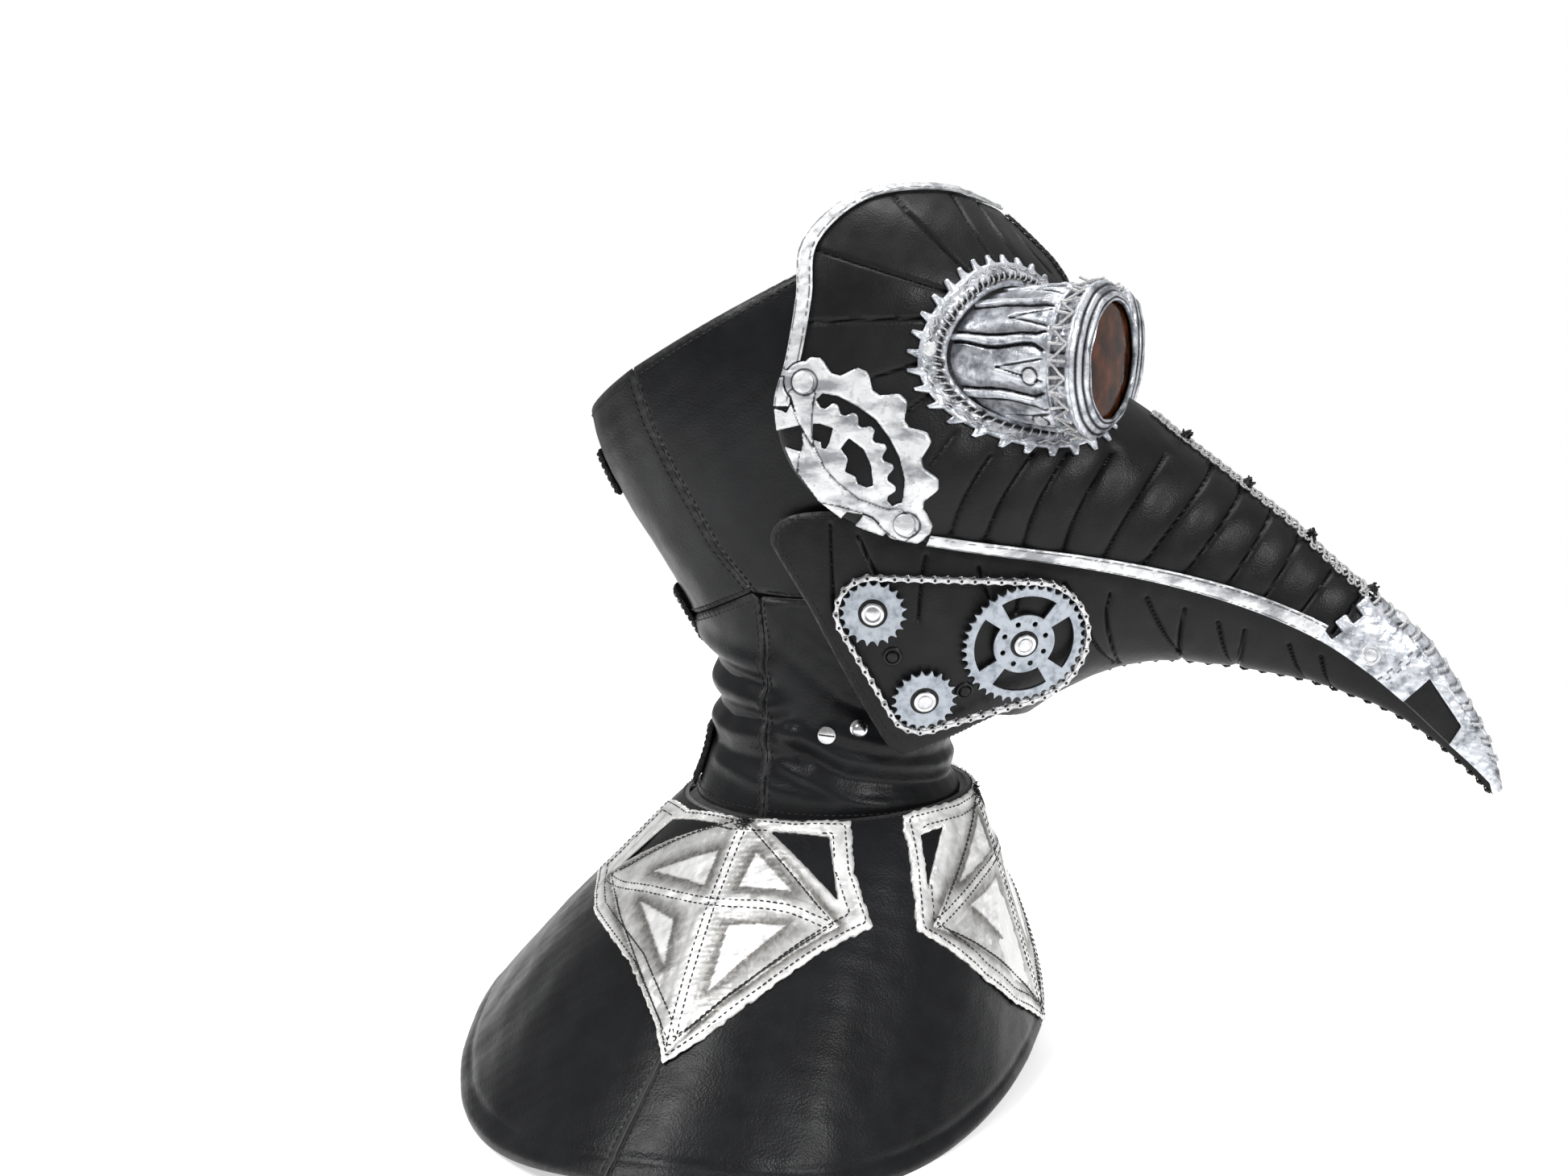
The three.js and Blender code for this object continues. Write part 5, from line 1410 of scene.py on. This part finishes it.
for name, (z, tall, half_width) in TABS.items():
    share = TAB_HALF / half_width / (2 * math.pi)
    low, high = down_of(z + tall / 2), down_of(z - tall / 2)
    U, V = net((-share, share, 56), (low, high, int(tall * 1.6)))
    tab = skin(hood_at, U, V, 0.9, 2.5, None, fuzz, edge=(0.4, 0.8))
    make(f"tab_{name}", tab, TAPE, f"closure_tab_{name}", [f"closure_tab_{name}"], pair=False)
    rows = Shape()
    a, b = share * 0.86, (high - low) * 0.09
    loop = [(-a, low + b), (a, low + b), (a, high - b), (-a, high - b), (-a, low + b)]
    stitches(rows, hood_at, dense(np.array(loop) * 300, 2) / 300, 2.75, 2.8, 2.0, 0.25)
    make(f"tab_{name}_thread", rows, THREAD, f"closure_tab_{name}", pair=False)

# ---- The collar ---------------------------------------------------------------------------------------
SEAM = 0.232


def collar_texture(p, u, v):
    rise = 1.1 * waves(p, 75, 71) + 0.35 * waves(p, 26, 72) + 0.12 * waves(p, 9, 73)
    fold = bell(u - 0.33, 0.02) + 0.8 * bell(u - 0.13, 0.02)
    rise = rise + 1.4 * fold * v - 0.5 * bell((1 - v) * 150 - 9, 2)
    return rise * np.clip(v * 5, 0, 1), np.ones(len(p))


for name, low, high in (("collar_back", 0.0006, SEAM - 0.0006), ("collar_front", SEAM + 0.0006, 0.4994)):
    U, V = net((low, high, 190), (0, 1, 120))
    cloth = skin(collar_at, U, V, -SOFT_LEATHER, 0, None, collar_texture, edge=(0.3, 0.85))
    make(name, cloth, SOFT, "mask", [f"{name}_panel"])

U, V = net((-0.011, 0.011, 16), (0.01, 0.985, 120))
placket = skin(collar_at, U, V, -3.3, -2.1, None, collar_texture, edge=(0.2, 0.6))
make("collar_placket", placket, SOFT, "mask", pair=False)


def over_collar(u, v, lift):
    """Points lift above the collar's folds."""
    return above(collar_at, u, v, lift + collar_texture(collar_at(u, v), u, v)[0])


def stitch_collar(shape, u, v, lift, spacing=2.8, length=2.0, radius=0.26):
    points, up = over_collar(u, v, lift), normals(collar_at, u, v)
    sew(shape, points, up, spacing, length, radius, (-0.45, 0.1, 0.22, 0.1, -0.45))


collar_thread = Shape()
s = np.linspace(0.4, 0.99, 60)
for sign in (-1, 1):
    away = 2.4 / (2 * np.pi * mix(COLLAR_TOP[0], COLLAR_HEM[0], s))
    stitch_collar(collar_thread, SEAM + sign * away, s, 0.05)
s = np.linspace(0.3, 1, 90)
tube(over_collar(SEAM + 0 * s, s, -0.95), 0.85, shape=collar_thread)
u = np.linspace(0.01, 0.49, 140)
stitch_collar(collar_thread, u, 0 * u + 0.012, 0.05)
make("collar_thread", collar_thread, THREAD, "mask")

SHOULDER_KITE = [
    (0.034, 0.06), (0.11, 0.03), (0.19, 0.015), (0.25, 0.013), (0.307, 0.016), (0.321, 0.165),
    (0.343, 0.32), (0.304, 0.395), (0.275, 0.51), (0.255, 0.615), (0.236, 0.7), (0.22, 0.6),
    (0.177, 0.46), (0.1, 0.4), (0.029, 0.388),
]
SHOULDER_WINDOWS = [
    [(0.09, 0.078), (0.172, 0.04), (0.071, 0.279)], [(0.23, 0.046), (0.29, 0.06), (0.312, 0.243)],
]
SHOULDER_FIELD = [(0.195, 0.014), (0.316, 0.315), (0.236, 0.662), (0.072, 0.316)]
SHOULDER_BRIGHT = [
    [(0.131, 0.217), (0.189, 0.116), (0.197, 0.217)], [(0.228, 0.112), (0.274, 0.219), (0.229, 0.212)],
    [(0.144, 0.299), (0.189, 0.323), (0.204, 0.448)], [(0.236, 0.322), (0.278, 0.313), (0.244, 0.501)],
]
SHOULDER_BANDS = [
    [(0.199, 0.03), (0.214, 0.26), (0.236, 0.65)],
    [(0.08, 0.316), (0.15, 0.26), (0.213, 0.262), (0.27, 0.265), (0.31, 0.312)],
]
FRONT_HALF = [
    (0.44, 0.015), (0.361, 0.013), (0.372, 0.13), (0.376, 0.25), (0.379, 0.355), (0.409, 0.455),
    (0.437, 0.604), (0.466, 0.783),
]


def mirrored(points):
    return [(1 - u, s) for u, s in points]


FRONT_KITE = FRONT_HALF + [(0.5, 0.985)] + mirrored(FRONT_HALF)[::-1] + [(0.5, 0.02)]
FRONT_WINDOWS = [[(0.385, 0.083), (0.415, 0.08), (0.39, 0.246)]]
FRONT_WINDOWS += [mirrored(FRONT_WINDOWS[0])]
FRONT_FIELD = [(0.5, 0.02), (0.392, 0.36), (0.5, 0.93), (0.608, 0.36)]
FRONT_BRIGHT = [[(0.425, 0.27), (0.484, 0.11), (0.488, 0.25)], [(0.436, 0.36), (0.486, 0.36), (0.488, 0.7)]]
FRONT_BRIGHT += [mirrored(points) for points in FRONT_BRIGHT]
FRONT_BANDS = [
    [(0.5, 0.03), (0.5, 0.5), (0.5, 0.95)],
    [(0.396, 0.355), (0.45, 0.3), (0.5, 0.29), (0.55, 0.3), (0.604, 0.355)],
]


def collar_flat(place, points):
    points = np.array(points, float)
    a, b, _ = place.local(collar_at(points[:, 0], points[:, 1]))
    return np.stack([a, b], -1)


def inset(points, distance):
    """A closed flat outline moved inwards."""
    points = np.array(points, float)
    before, after = np.roll(points, 1, 0), np.roll(points, -1, 0)
    turn = np.sign(np.sum(points[:, 0] * after[:, 1] - after[:, 0] * points[:, 1]))
    e1, e2 = unit(points - before), unit(after - points)
    n1, n2 = np.stack([-e1[:, 1], e1[:, 0]], -1) * turn, np.stack([-e2[:, 1], e2[:, 0]], -1) * turn
    n = unit(n1 + n2)
    return points + n * (distance / np.clip((n * n1).sum(1, keepdims=True), 0.45, 1))


def kite(name, node, middle, outline, windows, field, bright, bands, shares, downs, pair):
    """A torn-edged foil panel. Its field is airbrushed grey with bright triangles and raised bands."""
    place = Frame(collar_at(*middle), normals(collar_at, *(np.array(m) for m in middle)))
    outline, field = collar_flat(place, outline), collar_flat(place, field)
    windows, bright = ([collar_flat(place, loop) for loop in loops] for loops in (windows, bright))
    lines = [collar_flat(place, through(points)(np.linspace(0, 1, 30))) for points in bands]

    def outside(p, u, v):
        a, b, _ = place.local(p)
        torn = 0.45 * waves(p, 2.6, 81) + 0.3 * waves(p, 6, 82)
        cuts = [-outline_sd(a, b, hole) + 0.4 * torn for hole in windows]
        return np.maximum.reduce([outline_sd(a, b, outline) + torn, *cuts])

    def texture(p, u, v):
        a, b, _ = place.local(p)
        flat = np.stack([a, b, 0 * a], -1)
        field_d = outline_sd(a, b, field)
        bright_d = np.minimum.reduce([outline_sd(a, b, loop) for loop in bright])
        band_d = np.minimum.reduce([near(flat, np.pad(line, ((0, 0), (0, 1))), 12) for line in lines])
        edge_d = np.minimum.reduce([-outline_sd(a, b, outline), *(outline_sd(a, b, hole) for hole in windows)])
        in_field = field_d < 0
        paint = np.where(in_field, 0.12 + 0.45 * np.clip(bright_d / 7, 0, 1), 0.85)
        paint = np.where(bright_d < 0, np.clip(0.6 + 0.4 * -bright_d / 2.2, 0, 1), paint)
        paint -= 0.55 * bell(field_d, 2.6) * (field_d > 0)
        paint += 0.3 * bell(band_d, 2.4) * (bright_d > 0) * in_field
        paint -= 0.25 * bell(edge_d - 5.5, 2) * (field_d > 0)
        raised = 0.45 * below(band_d - 5, 0.35) * in_field + 0.45 * below(0.3 - field_d, 0.35)
        rise = collar_texture(p, u, v)[0] + raised + 0.22 * waves(p, 7, 83) + 0.1 * waves(p, 2.4, 84)
        return rise, np.clip(paint, 0.05, 1)

    made = skin(collar_at, *net((*shares, 300), (*downs, 190)), 0.15, 1.0, outside, texture, edge=(0.5, 0.9))
    make(name, made, FOIL, "mask", [node], pair=pair)
    sewing = Shape()
    loops = inset(outline, 2.0), inset(outline, 6.2), inset(field, 1.0)
    paths = [np.vstack([loop, loop[:1]]) for loop in loops]
    for line in lines:
        ahead = unit(np.gradient(line, axis=0))
        paths += [line + np.stack([-ahead[:, 1], ahead[:, 0]], -1) * d for d in (1.5, -1.5)]
    for path in paths:
        a, b = dense(path, 1.5).T
        clear = np.minimum.reduce([outline_sd(a, b, inset(hole, -0.8)) for hole in windows]) > 0
        u, v, miss = drape(collar_at, place, a, b, middle)
        good = clear & (outline_sd(a, b, outline) < -0.8) & (miss < 0.3)
        for part in np.split(np.arange(len(u)), np.flatnonzero(np.diff(good.astype(int))) + 1):
            if good[part[0]] and len(part) > 3:
                stitch_collar(sewing, u[part], v[part], 1.35, 2.5, 1.9, 0.32)
    spot = on_surface(collar_at, *bands[0][0])
    rng = np.random.default_rng(9)
    for _ in range(12):
        a, b = rng.uniform(-3.2, 3.2, (2, 3))
        tube(spot.at(a, b, [1.2, 2.6 + rng.uniform(-0.4, 1), 1.4]), 0.25, 5, shape=sewing)
    make(f"{name}_thread", sewing, THREAD, "mask", pair=pair)


kite(
    "shoulder_foil", "shoulder_kite", (0.2, 0.3), SHOULDER_KITE, SHOULDER_WINDOWS, SHOULDER_FIELD,
    SHOULDER_BRIGHT, SHOULDER_BANDS, (0.02, 0.36), (0.002, 0.73), True,
)
kite(
    "front_foil", "front_kite", (0.5, 0.4), FRONT_KITE, FRONT_WINDOWS, FRONT_FIELD, FRONT_BRIGHT, FRONT_BANDS,
    (0.35, 0.65), (0.002, 0.998), False,
)


# ---- Stage and lights ---------------------------------------------------------------------------------
FLOOR, FLOOR_RADIUS = -243.6, 900
floor_mesh = bpy.data.meshes.new("floor")
corners = [(x * MM, y * MM, FLOOR * MM) for x, y in circle(FLOOR_RADIUS, 64)]
floor_mesh.from_pydata(corners, [], [list(range(64))])
floor = bpy.data.objects.new("floor", floor_mesh)
bpy.context.scene.collection.objects.link(floor)
glowing = {"Emission Color": (1, 1, 1, 1), "Emission Strength": 0.55}
paper = Paint("floor_paper", roughness=0.8, specular=0.1, **glowing)
floor_mesh.materials.append(paper.done(paper.ramp(paper.noise(300, 2), (0.3, 0.8), (0.7, 0.84))))

world = bpy.data.worlds.new("studio")
world.use_nodes = True
backdrop = world.node_tree.nodes["Background"]
path = world.node_tree.nodes.new("ShaderNodeLightPath")
glow = world.node_tree.nodes.new("ShaderNodeMapRange")
glow.inputs["To Min"].default_value, glow.inputs["To Max"].default_value = 0.38, 1.0
world.node_tree.links.new(path.outputs["Is Camera Ray"], glow.inputs["Value"])
world.node_tree.links.new(glow.outputs["Result"], backdrop.inputs["Strength"])
backdrop.inputs["Color"].default_value = (1, 1, 1, 1)
bpy.context.scene.world = world
bpy.context.scene.view_settings.view_transform = "Standard"


LIT = (0, -0.05, -0.05)  # where the lights point


def area_light(name, at, size, power):
    data = bpy.data.lights.new(name, "AREA")
    data.shape, data.size, data.energy = "SQUARE", size, power
    light = bpy.data.objects.new(name, data)
    light.location = at
    light.rotation_euler = (Vector(LIT) - Vector(at)).to_track_quat("-Z", "Y").to_euler()
    bpy.context.scene.collection.objects.link(light)


area_light("key", (-0.9, 0.7, 1.3), 0.6, 18)
area_light("front", (-0.9, -1.3, 0.7), 0.4, 11)
area_light("top", (0.2, -0.3, 1.6), 0.8, 12)
area_light("rim", (1.1, 0.5, 0.8), 0.5, 6)
